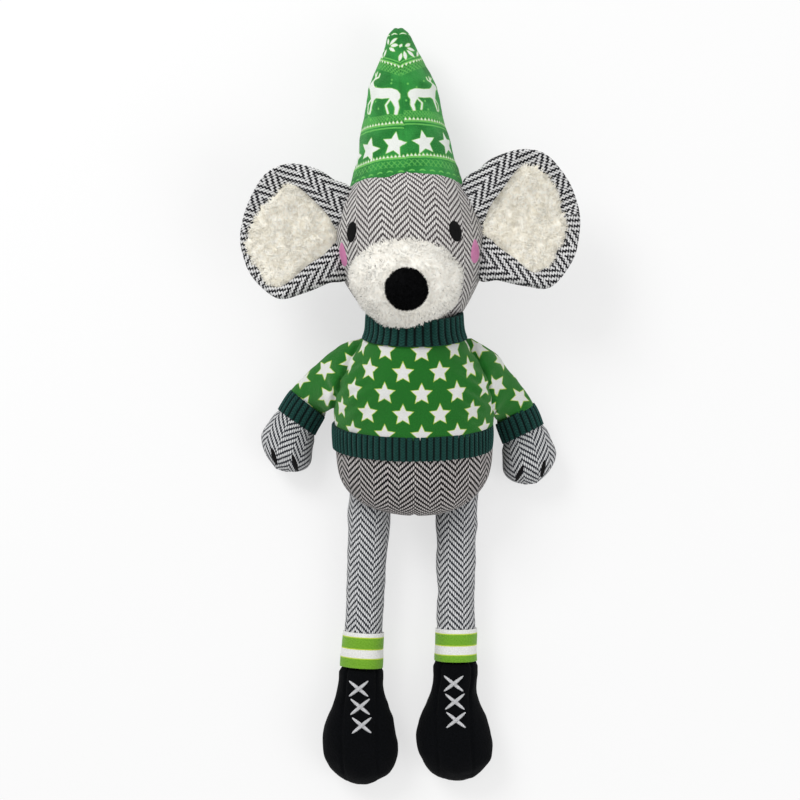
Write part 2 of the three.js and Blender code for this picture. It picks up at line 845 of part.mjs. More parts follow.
// Arms: two rails give the silhouette, outer and inner, along the arm and out from it
const armRailShares = [
  [0, [-0.5, 0.075], [0.5, -0.075], 1],
  [0.14, [-0.24, 0.29], [0.55, -0.06], 0.98],
  [0.3, [0.18, 0.42], [0.61, -0.04], 0.9],
  [0.48, [0.62, 0.52], [0.675, -0.03], 0.82],
  [0.64, [0.925, 0.53], [0.95, -0.05], 0.8],
  [0.76, [1.13, 0.54], [1.11, -0.11], 0.9],
  [0.88, [1.35, 0.525], [1.3, -0.19], 0.94],
  [0.96, [1.51, 0.37], [1.45, -0.14], 0.74],
  [1, [1.6, 0.14], [1.565, 0.0], 0.3],
];
const cuffStart = 0.48;
const cuffEnd = 0.64;

function armFrame(side) {
  const spread = side.spreadDeg * degrees;
  const along = new THREE.Vector3(side.sign * Math.sin(spread), -Math.cos(spread), 0);
  const out = new THREE.Vector3(side.sign * Math.cos(spread), Math.sin(spread), 0);
  const root = new THREE.Vector3((side.sign * shoulderSpacing) / 2, side.shoulderUp, shoulderLevel);
  return { along, out, root };
}

// The bare arm is thinner by the cloth where the sleeve covers it
function armForm(side, bare) {
  const { along, out, root } = armFrame(side);
  const stretch = armLength / armRailShares[armRailShares.length - 1][1][0];
  return new Form(
    armRailShares.map(([share, outer, inner, depth]) => {
      const place = ([down, aside]) =>
        root
          .clone()
          .addScaledVector(along, down * stretch)
          .addScaledVector(out, aside * armRootWidth);
      const outerPoint = place(outer);
      const innerPoint = place(inner);
      const covered = bare && share <= cuffEnd ? dressed : 0;
      const drop = THREE.MathUtils.smoothstep(share, 0, cuffEnd) * (shoulderLevel - handLevel);
      const centre = outerPoint.clone().add(innerPoint).multiplyScalar(1 / 2);
      centre.z -= drop;
      const across = outerPoint.clone().sub(innerPoint).multiplyScalar(1 / 2);
      across.setLength(across.length() - covered);
      const toward = upward.clone().multiplyScalar((depth * armDepth) / 2 - covered);
      return { share, centre, across, toward };
    }),
  );
}

const jumperOutside = torso.geometry({ ...torsoShape, grow: dressed + 2 * gap });
const bandShape = { rings: 2, sides: bodySides, grow: ribCloth + 2 * gap, endGrow: gap };
const collarOutside = torso.geometry({ ...bandShape, from: collarStart });
const hemOutside = torso.geometry({ ...bandShape, from: hemStart, to: hemEnd });
const sleeveSeam = gap / armLength;

function shoulderHinge(side) {
  const { along, out, root } = armFrame(side);
  const [, [topAlong, topOut], [lowAlong, lowOut]] = armRailShares[0];
  const seam = new THREE.Vector3();
  seam.addScaledVector(along, lowAlong - topAlong).addScaledVector(out, lowOut - topOut);
  const point = root.clone();
  point.z += armDepth / 2;
  return { point, axis: seam.normalize().multiplyScalar(side.sign) };
}

// Claws: two stitches over the end of the hand, placed along the arm and out from it
const clawPlaceShares = [
  [0.9, 0.3],
  [0.86, 0.02],
];

for (const side of sidesOfToy) {
  const { along, out, root } = armFrame(side);
  const hinge = shoulderHinge(side);
  const cleared = (solid) => clearedOf(solid, [jumperOutside, hemOutside, collarOutside], hinge, armSwing);
  const bare = armForm(side, true);
  const sleeve = armForm(side, false);
  const armShape = { rings: 8, sides: armSides, endGrow: 0, startGrow: rootReach };
  const sleeveOutside = sleeve.solid({ ...armShape, to: cuffStart - sleeveSeam, rings: 4 });
  const room = sleeve.solid({ ...armShape, grow: -fleeceCloth, endGrow: gap });
  addPiece(`sleeve_${side.name}`, cleared(sleeveOutside.subtract(room)), "green");
  const cuffShape = { from: cuffStart, to: cuffEnd, rings: 2, sides: armSides };
  const cuff = sleeve.solid({ ...cuffShape, grow: ribCloth - fleeceCloth, endGrow: 0 });
  addPiece(`cuff_${side.name}`, cleared(cuff.subtract(room).subtract(floor)), "rib");
  const cuffSeat = sleeve
    .solid({ ...cuffShape, grow: ribCloth, endGrow: gap })
    .subtract(sleeve.solid({ ...armShape, grow: -dressed, endGrow: gap }));
  const skinOutside = bare.solid(armShape);
  const insideShape = { rings: 6, sides: 10, endGrow: 0, startGrow: rootReach };
  const skinInside = bare.solid({ ...insideShape, grow: -tweedCloth }).subtract(tipBlock(bare, tweedCloth));
  const skin = skinOutside.subtract(cuffSeat).subtract(skinInside).subtract(floor);
  addPiece(`arm_skin_${side.name}`, cleared(skin), "tweed");
  const fillingTip = tipBlock(bare, tweedCloth + gap);
  const filling = bare.solid({ ...insideShape, grow: -tweedCloth - gap }).subtract(fillingTip);
  addPiece(`arm_stuffing_${side.name}`, cleared(filling), "filling");
  const handLayer = layerOf(bare, { from: cuffEnd, rings: 6, sides: armSides });
  const slant = clawSlantDeg * degrees;
  const line = along.clone().multiplyScalar(Math.cos(slant)).addScaledVector(out, -Math.sin(slant));
  const turnDeg = Math.atan2(-line.x, line.y) / degrees;
  clawPlaceShares.forEach(([down, aside], k) => {
    const place = root.clone().addScaledVector(along, down * armLength);
    place.addScaledVector(out, aside * armRootWidth).setZ(handLevel);
    const claw = stitchBar(clawWidth, clawLength, place, turnDeg).intersect(handLayer);
    addPiece(`claw_${side.name}_${k + 1}`, claw, "black");
  });
}

// Legs: straight tubes under the seat, each ending in a sock band
const legTotal = legLength + sockHeight;
const sockStart = legLength / legTotal;
const sockSeam = gap / legTotal;
const legShares = [
  [0, 1.12],
  [0.26, 1.08],
  [0.45, 1.0],
  [0.75, 0.97],
  [1, 1.01],
];

function legFrame(side) {
  const lean = side.legLeanDeg * degrees;
  const down = new THREE.Vector3(side.sign * Math.sin(lean), -Math.cos(lean), 0);
  const across = new THREE.Vector3(Math.cos(lean), side.sign * Math.sin(lean), 0);
  const hip = new THREE.Vector3((side.sign * legSpacing) / 2, hipHeight + side.legRise, legLevel);
  return { down, across, hip, ankle: hip.clone().addScaledVector(down, legTotal) };
}

function legForm(side) {
  const { down, across, hip } = legFrame(side);
  return new Form(
    legShares.map(([share, radius]) => ({
      share,
      centre: hip.clone().addScaledVector(down, share * legTotal),
      across: across.clone().multiplyScalar(radius * legRadius),
      toward: upward.clone().multiplyScalar(radius * legRadius),
    })),
  );
}

// Boots: a narrow ankle that swells to a broad flat toe, with the instep toward the viewer
const bootShares = [
  [0, 0.585, 0.8, 0.86],
  [0.2, 0.61, 0.83, 0.88],
  [0.32, 0.72, 0.88, 0.92],
  [0.43, 0.87, 0.95, 0.95],
  [0.55, 0.97, 1, 0.96],
  [0.66, 1, 1, 0.96],
  [0.78, 0.95, 0.96, 0.94],
  [0.89, 0.76, 0.8, 0.86],
  [0.96, 0.5, 0.55, 0.72],
  [1, 0.2, 0.25, 0.62],
];

function bootForm(side) {
  const { ankle } = legFrame(side);
  return new Form(
    bootShares.map(([share, width, depth, level]) => {
      const centre = ankle.clone();
      centre.x += side.bootTurn * share * share;
      centre.y -= share * bootLength;
      centre.z = (level * bootDepth) / 2;
      return {
        share,
        centre,
        across: right.clone().multiplyScalar((width * bootWidth) / 2),
        toward: upward.clone().multiplyScalar((depth * bootDepth) / 2),
      };
    }),
  );
}

function hipHinge(side) {
  const { hip } = legFrame(side);
  const point = new THREE.Vector3(hip.x, hipCrease, legLevel + legRadius);
  return { point, axis: right.clone().negate() };
}

function ankleHinge(side) {
  const { ankle } = legFrame(side);
  const point = new THREE.Vector3(ankle.x, ankle.y, legLevel + legRadius);
  return { point, axis: right.clone().negate() };
}

const seat = torso.geometry({ ...torsoShape, grow: gap });
const legRound = { sides: armSides, rings: 3 };
const laceLean = Math.atan2(laceWidth, laceHeight) / degrees;
const laceLength = Math.hypot(laceWidth, laceHeight);

for (const side of sidesOfToy) {
  const leg = legForm(side);
  const hip = hipHinge(side);
  const hipCleared = (solid) => clearedOf(solid, [seat], hip, hipSwing);
  const inner = { rings: 2, sides: 10, endGrow: gap, startGrow: gap };
  const legInside = leg.solid({ ...inner, grow: -tweedCloth });
  const tube = leg.solid({ to: sockStart - sockSeam, ...legRound, endGrow: 0 }).subtract(legInside);
  addPiece(`leg_skin_${side.name}`, hipCleared(tube), "tweed");
  const sock = leg.solid({ from: sockStart, ...legRound, rings: 2, grow: sockProud, endGrow: 0 });
  addPiece(`sock_${side.name}`, sock.subtract(legInside).subtract(floor), "sock");
  const legFilling = leg.solid({ ...inner, grow: -tweedCloth - gap, endGrow: 0, startGrow: 0 });
  addPiece(`leg_stuffing_${side.name}`, hipCleared(legFilling), "filling");

  const boot = bootForm(side);
  const ankle = ankleHinge(side);
  const calf = leg.geometry({ from: calfShare, ...legRound, grow: sockProud + gap, endGrow: gap });
  const bootCleared = (solid) => clearedOf(solid, [calf], ankle, ankleSwing);
  const bootShape = { rings: 9, sides: 18, crowding: endCrowding, endGrow: 0 };
  const insideShape = { rings: 6, sides: 10, crowding: endCrowding, endGrow: 0 };
  const whole = boot.solid(bootShape).subtract(floor);
  const soleBlock = floorBlock(floorLevel + soleThickness);
  const soleSeat = floorBlock(floorLevel + soleThickness + gap);
  addPiece(`boot_sole_${side.name}`, bootCleared(whole.intersect(soleBlock)), "black");
  const bootInside = boot.solid({ ...insideShape, grow: -fleeceCloth }).subtract(tipBlock(boot, fleeceCloth));
  addPiece(`boot_upper_${side.name}`, bootCleared(whole.subtract(soleSeat).subtract(bootInside)), "black");
  const bootFilling = boot
    .solid({ ...insideShape, grow: -fleeceCloth - gap })
    .subtract(tipBlock(boot, fleeceCloth + gap))
    .subtract(soleSeat);
  addPiece(`boot_stuffing_${side.name}`, bootCleared(bootFilling), "filling");
  const bootLayer = layerOf(boot, bootShape);
  for (let k = 0; k < laceCount; k += 1) {
    const place = boot.section((laceStart + k * lacePitch) / bootLength).centre;
    const rising = stitchBar(laceThread, laceLength, place, laceLean);
    const falling = stitchBar(laceThread, laceLength, place, -laceLean);
    addPiece(`lace_${side.name}_${k + 1}`, rising.add(falling).intersect(bootLayer), "thread");
  }
}

// The part's origin lies under the middle of its footprint
const extent = new THREE.Box3().setFromObject(toy);
const footprint = extent.getCenter(new THREE.Vector3());
toy.position.set(-footprint.x, -footprint.y, -extent.min.z);

export default toy;
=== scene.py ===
# %% [markdown]
# # A stuffed mouse with a squeaker, dressed in Blender
# The toy lies on its back on a pale floor, and the camera looks straight down on it, as when a shop lays a soft toy
# flat to photograph it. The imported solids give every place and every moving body. This script sews the cloth over
# them: herringbone tweed, printed fleece, rib knit, curly sherpa, white pile and black velour.

# %% Load the solids
import bmesh
import bpy
import numpy as np
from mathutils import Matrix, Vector, noise
from mathutils.bvhtree import BVHTree


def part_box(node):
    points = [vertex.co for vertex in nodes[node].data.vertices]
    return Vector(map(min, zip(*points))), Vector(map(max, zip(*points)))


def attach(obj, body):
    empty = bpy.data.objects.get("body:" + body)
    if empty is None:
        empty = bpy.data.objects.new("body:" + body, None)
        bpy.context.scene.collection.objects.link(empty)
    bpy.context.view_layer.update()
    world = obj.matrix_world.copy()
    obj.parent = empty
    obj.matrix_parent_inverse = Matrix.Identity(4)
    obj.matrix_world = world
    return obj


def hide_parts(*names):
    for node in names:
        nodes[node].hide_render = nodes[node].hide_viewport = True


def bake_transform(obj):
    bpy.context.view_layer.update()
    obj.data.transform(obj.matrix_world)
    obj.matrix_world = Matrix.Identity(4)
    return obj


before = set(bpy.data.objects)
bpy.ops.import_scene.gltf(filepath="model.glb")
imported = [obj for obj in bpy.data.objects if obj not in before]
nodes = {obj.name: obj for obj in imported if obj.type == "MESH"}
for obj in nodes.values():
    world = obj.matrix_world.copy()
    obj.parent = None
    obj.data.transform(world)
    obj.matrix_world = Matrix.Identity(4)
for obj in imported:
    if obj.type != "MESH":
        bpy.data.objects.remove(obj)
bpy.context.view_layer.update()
dice = np.random.default_rng(7)
noise.seed_set(7)  # else vector noise, which leans the tufts, starts from the clock
mm = 0.001

# %% [markdown]
# The shapes below are worked out in millimetres from the crotch seam, which is where the solids were measured from.
# The squeaker is a round disc 52 mm above that seam, so the middle of its box says how far the whole toy was moved.

# %% Where the toy's own zero lies
disc_above_seam = 52
disc_low, disc_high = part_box("squeaker_rear_shell")
zero_x = (disc_low.x + disc_high.x) / 2 / mm
zero_y = (disc_low.y + disc_high.y) / 2 / mm - disc_above_seam
zero = np.array((zero_x, zero_y, 0.0))
east, north, north_up = np.array((1.0, 0, 0)), np.array((0, 1.0, 0)), np.array((0, 0, 1.0))
print("crotch seam at", round(zero_x, 2), round(zero_y, 2), "mm")

# %% [markdown]
# The camera stands 1.2 m above the floor with a long lens. From there the nose, which is nearest, grows only a little,
# as it does in a catalogue picture.

# %% Camera
view_x, view_y, view_height = -7.536, 59.502, 1208


def added(name, data):
    made = bpy.data.objects.new(name, data)
    bpy.context.scene.collection.objects.link(made)
    return made


camera_data = bpy.data.cameras.new("catalogue_camera")
camera_data.lens, camera_data.sensor_width, camera_data.clip_end = 100, 36, 10
camera = added("catalogue_camera", camera_data)
camera.location = ((zero_x + view_x) * mm, (zero_y + view_y) * mm, view_height * mm)
bpy.context.scene.camera = camera
print("camera at", list(camera.location))

# %% [markdown]
# Every finish here is a small program of shader nodes. Writing that out node by node hides the idea, so `Wire` wraps
# one socket and lets plain arithmetic add the Math nodes. `NodeBench` adds any other node to a node tree, and
# `Finish` is the bench of one material.

# %% Shader arithmetic
class Wire:
    def __init__(self, bench, socket):
        self.bench, self.socket = bench, socket

    def maths(self, operation, *others):
        return self.bench.node("ShaderNodeMath", {"operation": operation}, self, *others)

    def __rsub__(self, other):
        return self.bench.node("ShaderNodeMath", {"operation": "SUBTRACT"}, other, self)

    def wave(self):
        """0 at whole numbers and 1 halfway between them, in straight lines."""
        return 1 - ((self.fract() - 0.5).size() * 2)

    def step(self, low, high, start=0.0, end=1.0):
        """Eases from start to end while the value goes from low to high."""
        settings = {"interpolation_type": "SMOOTHSTEP"}
        return self.bench.node("ShaderNodeMapRange", settings, self, low, high, start, end)


wire_words = {
    "__add__": "ADD", "__radd__": "ADD", "__sub__": "SUBTRACT", "__mul__": "MULTIPLY", "__rmul__": "MULTIPLY",
    "__truediv__": "DIVIDE", "floor": "FLOOR", "fract": "FRACT", "size": "ABSOLUTE", "sin": "SINE", "cos": "COSINE",
    "lesser": "MINIMUM", "greater": "MAXIMUM",
}
for word, operation in wire_words.items():
    setattr(Wire, word, lambda wire, *others, operation=operation: wire.maths(operation, *others))


class NodeBench:
    def __init__(self, tree):
        self.tree = tree

    def node(self, kind, settings, *values, out=0):
        made = self.tree.nodes.new(kind)
        for name, value in settings.items():
            setattr(made, name, value)
        for place, value in enumerate(values):
            self.put(made.inputs[place], value)
        return Wire(self, made.outputs[out])

    def put(self, socket, value):
        if isinstance(value, Wire):
            self.tree.links.new(value.socket, socket)
        elif isinstance(value, tuple) and len(value) < len(socket.default_value):
            socket.default_value = (*value, 1)
        elif value is not None:
            socket.default_value = value

    def seen_straight(self):
        """1 on a ray that comes from the camera, by a mirror or through glass, and else 0."""
        rays = self.tree.nodes.new("ShaderNodeLightPath")
        kinds = ("Camera", "Glossy", "Transmission")
        seen, mirrored, through = (Wire(self, rays.outputs[f"Is {kind} Ray"]) for kind in kinds)
        return seen.greater(mirrored).greater(through)


class Finish(NodeBench):
    def __init__(self, name, roughness=0.9, sheen=0.0, sheen_tint=(1, 1, 1), specular=0.3):
        self.material = bpy.data.materials.new(name)
        self.material.use_nodes = True
        super().__init__(self.material.node_tree)
        self.shader = self.tree.nodes["Principled BSDF"]
        self.set("Roughness", roughness)
        self.set("Sheen Weight", sheen)
        self.set("Sheen Tint", sheen_tint)
        self.set("Specular IOR Level", specular)

    def set(self, socket, value):
        self.put(self.shader.inputs[socket], value)

    def cloth(self):
        """Places on the flat cloth, in millimetres across and along."""
        parts = self.tree.nodes.new("ShaderNodeSeparateXYZ")
        self.put(parts.inputs[0], self.node("ShaderNodeUVMap", {"uv_map": "cloth"}))
        return Wire(self, parts.outputs[0]), Wire(self, parts.outputs[1])

    def point(self, across, along):
        return self.node("ShaderNodeCombineXYZ", {}, across, along)

    def speckle(self, scale, detail=2.0, place=None):
        """Cloudy noise from 0 to 1, with this many bumps per metre, or per millimetre on a given place."""
        place = place or self.node("ShaderNodeTexCoord", {}, out=3)
        return self.node("ShaderNodeTexNoise", {}, place, None, scale, detail)

    def mixed(self, factor, first, second):
        made = self.tree.nodes.new("ShaderNodeMix")
        made.data_type = "RGBA"
        for place, value in ((0, factor), (6, first), (7, second)):
            self.put(made.inputs[place], value)
        return Wire(self, made.outputs[2])

    def finished(self, colour, height, depth):
        """Ends the material, with a bump of this depth in millimetres from a height of 0 to 1."""
        self.set("Base Color", colour)
        self.set("Normal", self.node("ShaderNodeBump", {}, 1.0, depth * mm, 0.1, height))
        return self.material


print("shader arithmetic ready")

# %% [markdown]
# Soft light comes from a large panel up and to the left, a weaker one on the right, and a pale sky all round, so the
# folds show without hard shadows. The strengths are low enough that a cloth colour renders about as it is written.
# The sky lights the toy at 0.62, and where the camera looks straight at it, it is plain white.

# %% Lights and sky
def panel(name, place, size, strength):
    data = bpy.data.lights.new(name, "AREA")
    data.energy, data.size = strength, size
    lamp = added(name, data)
    lamp.location = place
    lamp.rotation_euler = (Vector((0, 0, 0.03)) - Vector(place)).to_track_quat("-Z", "Y").to_euler()


panel("window_panel", (-0.75, 0.9, 1.1), 0.7, 13)
panel("filling_panel", (1.1, -0.5, 1.2), 1.0, 7)
sky_light = 0.62
world = bpy.data.worlds.new("studio_sky")
bpy.context.scene.world = world
world.use_nodes = True
sky = NodeBench(world.node_tree)
sky_colour, sky_strength = sky.tree.nodes["Background"].inputs[:2]
sky.put(sky_colour, (1, 1, 1, 1))
sky.put(sky_strength, sky.seen_straight() * (1 - sky_light) + sky_light)
bpy.context.scene.view_settings.view_transform = "Standard"
print("two panels and a sky")

# %% [markdown]
# The floor is a pale sheet under the toy. Seen straight from the camera it is nearly white, and it still takes the
# soft shadow of the toy. Part of its light is its own, so the shadow stays faint.

# %% Floor
floor_half, own_light = 3.0, 0.62
floor_mesh = bpy.data.meshes.new("floor")
floor_corners = [(a * floor_half, b * floor_half, 0) for a, b in ((-1, -1), (1, -1), (1, 1), (-1, 1))]
floor_mesh.from_pydata(floor_corners, [], [(0, 1, 2, 3)])
floor = added("floor", floor_mesh)
floor.location.z = -0.0004
paper = Finish("pale_floor", roughness=1.0, specular=0.0)
paper.set("Base Color", (0.86, 0.86, 0.86))
glow = paper.node("ShaderNodeEmission", {}, (1.0, 1.0, 1.0), 1.0)
plain = Wire(paper, paper.shader.outputs[0])
both = paper.node("ShaderNodeMixShader", {}, paper.seen_straight() * own_light, plain, glow)
paper.put(paper.tree.nodes["Material Output"].inputs[0], both)
floor_mesh.materials.append(paper.material)
print("floor laid")

# %% [markdown]
# # Cloth
# Herringbone tweed is a twill whose diagonal turns round in every column. Each warp thread shows as a short float, one
# step up from its neighbour, so the stripe is a stair of small bright and dark yarns and not a clean line. The pattern
# is therefore worked out thread by thread from the flat place on the cloth, and thread by thread the yarn changes tone.

# %% Herringbone tweed
def linear(red, green, blue):
    """A colour written as 0 to 255, as light."""
    return tuple(((v / 255 + 0.055) / 1.055) ** 2.4 if v > 10 else v / 255 / 12.92 for v in (red, green, blue))


yarn_wide, tweed_column, tweed_stripe = 0.97, 7.5, 3.4


def tweed(name, pale, dark, shift=0.0, steep=1.0, bead_way=(1.0, 0.0), bead=yarn_wide, thick=0.0):
    cloth = Finish(name, roughness=0.95, sheen=0.1, specular=0.12)
    across, along = cloth.cloth()
    across = across + shift
    fuzz = cloth.speckle(0.9, 3.0, cloth.point(across, along)) - 0.5
    fuzz_too = cloth.speckle(0.9, 3.0, cloth.point(along + 31, across)) - 0.5
    warp = (across / yarn_wide + fuzz * 0.4).floor()
    pair = (warp + 0.5) * (yarn_wide / (2 * tweed_column))
    broken = (pair * 2).floor() * 0.5
    stripe = tweed_stripe * steep
    climb = (along + fuzz_too * 0.8 + pair.wave() * (tweed_column * steep) + broken.fract() * stripe) / stripe
    across_yarn = ((across * bead_way[0] + along * bead_way[1]) / bead + fuzz * 0.4).wave()
    bright = (climb.wave() + (across_yarn - 0.5) * 0.6).step(0.36 + thick, 0.64 + thick)
    strand = cloth.speckle(1.7, 2.0, cloth.point(across * 2.2, along * 0.8))
    cloud = cloth.speckle(0.055, 2.0, cloth.point(across, along))
    shade = strand.step(0.25, 0.75) * 0.6 + across_yarn.step(0.0, 0.5) * 0.4
    pale_side = cloth.mixed(shade, tuple(v * 0.42 for v in pale), tuple(min(v * 1.2, 1) for v in pale))
    dark_side = cloth.mixed(strand.step(0.3, 0.8), tuple(v * 0.4 for v in dark), tuple(v * 1.7 for v in dark))
    colour = cloth.mixed(bright, dark_side, pale_side)
    colour = cloth.mixed(cloud.step(0.3, 0.75) * 0.15, colour, tuple(v * 2.5 for v in dark))
    return cloth.finished(colour, bright * 0.55 + across_yarn * 0.3 + strand * 0.35, 0.42)


head_tweed = tweed("head_tweed", linear(234, 231, 228), linear(66, 60, 62))
belly_tweed = tweed("belly_tweed", linear(218, 212, 210), linear(14, 11, 12), thick=0.11)
limb_tweed = tweed("limb_tweed", linear(224, 225, 226), linear(34, 38, 46), 3.75)
ear_tweed = tweed("ear_tweed", linear(224, 224, 224), linear(30, 30, 34), 0.0, 1.8, (0.35, 1.0), 1.45)
print("tweed for head, belly, limbs and ears")

# %% [markdown]
# The jumper is short fleece with a print of staggered stars. A star is the nearest of five wedges: the angle round its
# middle is folded into one wedge, and the star's edge is then one straight line in that wedge. The dye of the green
# ground bleeds a little into the white, which leaves a thin lime line round every star.

# %% Star print fleece
def folded(value, pitch):
    """How far a value is from the nearest multiple of the pitch."""
    return value - (value / pitch + 0.5).floor() * pitch


def star_edge(cloth, across, along, lean):
    """Millimetres outside a five-pointed star's edge, negative inside."""
    angle = cloth.node("ShaderNodeMath", {"operation": "ARCTAN2"}, across, along) + np.radians(lean)
    wedge = 2 * np.pi / 5
    turned = folded(angle, wedge).size()
    length = cloth.node("ShaderNodeVectorMath", {"operation": "LENGTH"}, cloth.point(across, along), out=1)
    tip = np.array((star_radius, 0.0))
    notch = star_radius * star_waist * np.array((np.cos(wedge / 2), np.sin(wedge / 2)))
    edge = notch - tip
    normal = np.array((-edge[1], edge[0])) / np.hypot(*edge)
    normal *= np.sign(normal @ tip)
    return turned.cos() * length * float(normal[0]) + turned.sin() * length * float(normal[1]) - float(normal @ tip)


star_row, star_column, star_radius, star_waist = 10.95, 19.3, 5.5, 0.48


def star_fleece(name, shift, lean=0.0):
    cloth = Finish(name, roughness=0.95, sheen=0.25, sheen_tint=(0.6, 0.9, 0.5), specular=0.1)
    across, along = cloth.cloth()
    fuzz = cloth.speckle(1.3, 3.0, cloth.point(across, along))
    wobble = (fuzz - 0.5) * 0.5
    across = across + wobble + shift[0]
    along = along + wobble + shift[1]
    even, odd = (
        star_edge(
            cloth, folded(across + k * star_column / 2, star_column), folded(along + k * star_row, 2 * star_row), lean
        )
        for k in (0, 1)
    )
    outside = even.lesser(odd)
    nap = cloth.speckle(2.6, 3.0, cloth.point(across, along))
    drift = cloth.speckle(0.045, 2.0, cloth.point(across, along))
    ground = cloth.mixed(nap.step(0.2, 0.8), linear(17, 78, 24), linear(42, 129, 44))
    ground = cloth.mixed(drift.step(0.35, 0.7) * 0.35, ground, linear(28, 100, 32))
    white = cloth.mixed(nap.step(0.2, 0.8), linear(208, 208, 206), linear(240, 240, 238))
    colour = cloth.mixed(outside.step(-0.2, 0.1), white, linear(190, 214, 84))
    return cloth.finished(cloth.mixed(outside.step(0.1, 0.4), colour, ground), nap, 0.5)


jumper_fleece = star_fleece("jumper_fleece", (3.6, -4.65))
left_sleeve_fleece = star_fleece("left_sleeve_fleece", (-11.5, -5.2), 32.5)
right_sleeve_fleece = star_fleece("right_sleeve_fleece", (-5.9, -7.4), 23.5)
print("star print for body and sleeves")

# %% [markdown]
# The rib bands are knitted: their cords are real ridges in the mesh, and each cord carries a column of small V
# stitches that only need a bump. The grooves between cords are painted nearly black, as painted shade, because hardly
# any light gets down there, and the gaps between the stitches are painted a little darker, also as painted shade.

# %% Rib knit
def rib_knit():
    cloth = Finish("teal_rib", roughness=0.97, sheen=0.15, sheen_tint=(0.4, 0.8, 0.75), specular=0.1)
    across, along = cloth.cloth()
    cord = across.wave()
    lean = folded(across, 1.0).size() * 3
    stitch = ((along + lean * 1.1) / 1.5).wave()
    yarn = cloth.speckle(2.2, 3.0, cloth.point(across, along))
    lit = cloth.mixed(yarn.step(0.2, 0.8), linear(15, 48, 43), linear(31, 77, 70))
    # Painted shade: darker in the gaps between the V stitches.
    lit = cloth.mixed(stitch.step(0.0, 0.5), linear(12, 38, 34), lit)
    # Painted shade: near black in the grooves between the cords.
    colour = cloth.mixed(cord.step(0.12, 0.5), linear(4, 14, 13), lit)
    return cloth.finished(colour, stitch * 0.6 + yarn * 0.5, 0.45)


rib = rib_knit()
print("rib knit ready")

# %% [markdown]
# The other cloths are plainer. Sherpa and the muzzle's pile get their shape from real tufts, so their shader only
# shades the roots. Light goes on from fibre to fibre in white pile far oftener than it is followed here, so the white
# piles get a painted glow: a small light of their own, in their own colour, standing in for the light not followed.
# Velour is near black. Embroidery is smooth satin thread.

# %% Pile, velour, thread and sock
def pile(name, root, tip, nap, sheen, bump, painted_glow=0.0):
    cloth = Finish(name, roughness=1.0, sheen=sheen, specular=0.08)
    # Painted glow: the pile gives off light of its own colour at this strength.
    cloth.set("Emission Strength", painted_glow)
    tone = cloth.speckle(1 / (nap * mm), 3.0)
    drift = cloth.speckle(70, 2.0)
    colour = cloth.mixed(tone.step(0.25, 0.7), root, tip)
    colour = cloth.mixed(drift.step(0.4, 0.75) * 0.25, colour, root)
    cloth.set("Emission Color", colour)
    return cloth.finished(colour, tone, bump)


# The last number of each white pile is its painted glow.
sherpa = pile("sherpa", linear(228, 222, 205), linear(242, 239, 229), 2.6, 0.3, 0.4, 0.2)
muzzle_pile = pile("muzzle_pile", linear(222, 218, 208), linear(231, 229, 222), 2.4, 0.3, 0.3, 0.3)
nose_fleece = pile("nose_fleece", linear(3, 3, 4), linear(10, 10, 12), 0.7, 0.0, 0.5)
velour = pile("black_velour", linear(2, 3, 4), linear(7, 8, 11), 0.9, 0.012, 0.35)


thread_wide = 0.42


def satin(name, dark, bright, roughness=0.45, sheen=0.1, specular=0.4):
    thread = Finish(name, roughness=roughness, sheen=sheen, specular=specular)
    across, along = thread.cloth()
    strand = (along / thread_wide).wave()
    # Painted shade: each thread is coloured darker towards its edges, where it meets the next thread.
    return thread.finished(thread.mixed(strand.step(0.0, 0.7), dark, bright), strand, 0.25)


threads = {
    "white_thread": satin("white_thread", linear(176, 178, 184), linear(244, 244, 246)),
    "black_thread": satin("black_thread", linear(2, 2, 3), linear(10, 10, 12), 0.75, 0.0, 0.15),
    "pink_thread": satin("pink_thread", linear(202, 104, 158), linear(236, 152, 200), 0.6),
}


def striped_sock():
    cloth = Finish("striped_sock", roughness=0.95, sheen=0.2, specular=0.1)
    across, along = cloth.cloth()
    nap = cloth.speckle(1.5, 3.0, cloth.point(across, along))
    down = along + (nap - 0.5) * 0.5
    lime = cloth.mixed(nap.step(0.2, 0.8), linear(92, 146, 28), linear(128, 180, 56))
    colour = cloth.mixed(nap.step(0.2, 0.8), linear(216, 216, 212), linear(242, 242, 240))
    for top, bottom in ((2.4, 8.6), (13.6, 40.0)):
        inside = (down - top).lesser(bottom - down)
        colour = cloth.mixed(inside.step(-0.45, -0.1), colour, linear(196, 214, 70))
        colour = cloth.mixed(inside.step(0.0, 0.45), colour, lime)
    return cloth.finished(colour, nap, 0.5)


sock_fleece = striped_sock()


plastic = Finish("milky_plastic", specular=0.5)
grain = plastic.speckle(900)
plastic.set("Base Color", plastic.mixed(grain, linear(222, 219, 208), linear(240, 238, 230)))
plastic.set("Roughness", grain.step(0, 1, 0.34, 0.5))
milky_plastic = plastic.material
print("the plain cloths are ready")

# %% [markdown]
# # Stuffed forms
# Every limb of a stuffed toy is a run of oval sections along a line: sewn flat, then swollen by the filling. `Form`
# keeps the same sections as the solids and eases from one to the next on a smooth curve, so the cloth fits the solids
# and can still be as finely divided as the folds need. Each point also knows its flat place on the cloth.

# %% Oval sections on a smooth line
def eased(points, where):
    """Values on a smooth curve through the points, at places counted in points."""
    points = np.asarray(points, float)
    last = len(points) - 1
    i = np.clip(np.floor(where).astype(int), 0, last - 1)
    t = (np.asarray(where) - i)[:, None]
    padded = np.vstack([2 * points[0] - points[1], points, 2 * points[-1] - points[-2]])
    before, start, end, after = padded[i], padded[i + 1], padded[i + 2], padded[i + 3]
    leave, arrive = (end - before) / 2, (after - start) / 2
    return (
        start * (2 * t**3 - 3 * t**2 + 1) + leave * (t**3 - 2 * t**2 + t)
        + end * (3 * t**2 - 2 * t**3) + arrive * (t**3 - t**2)
    )


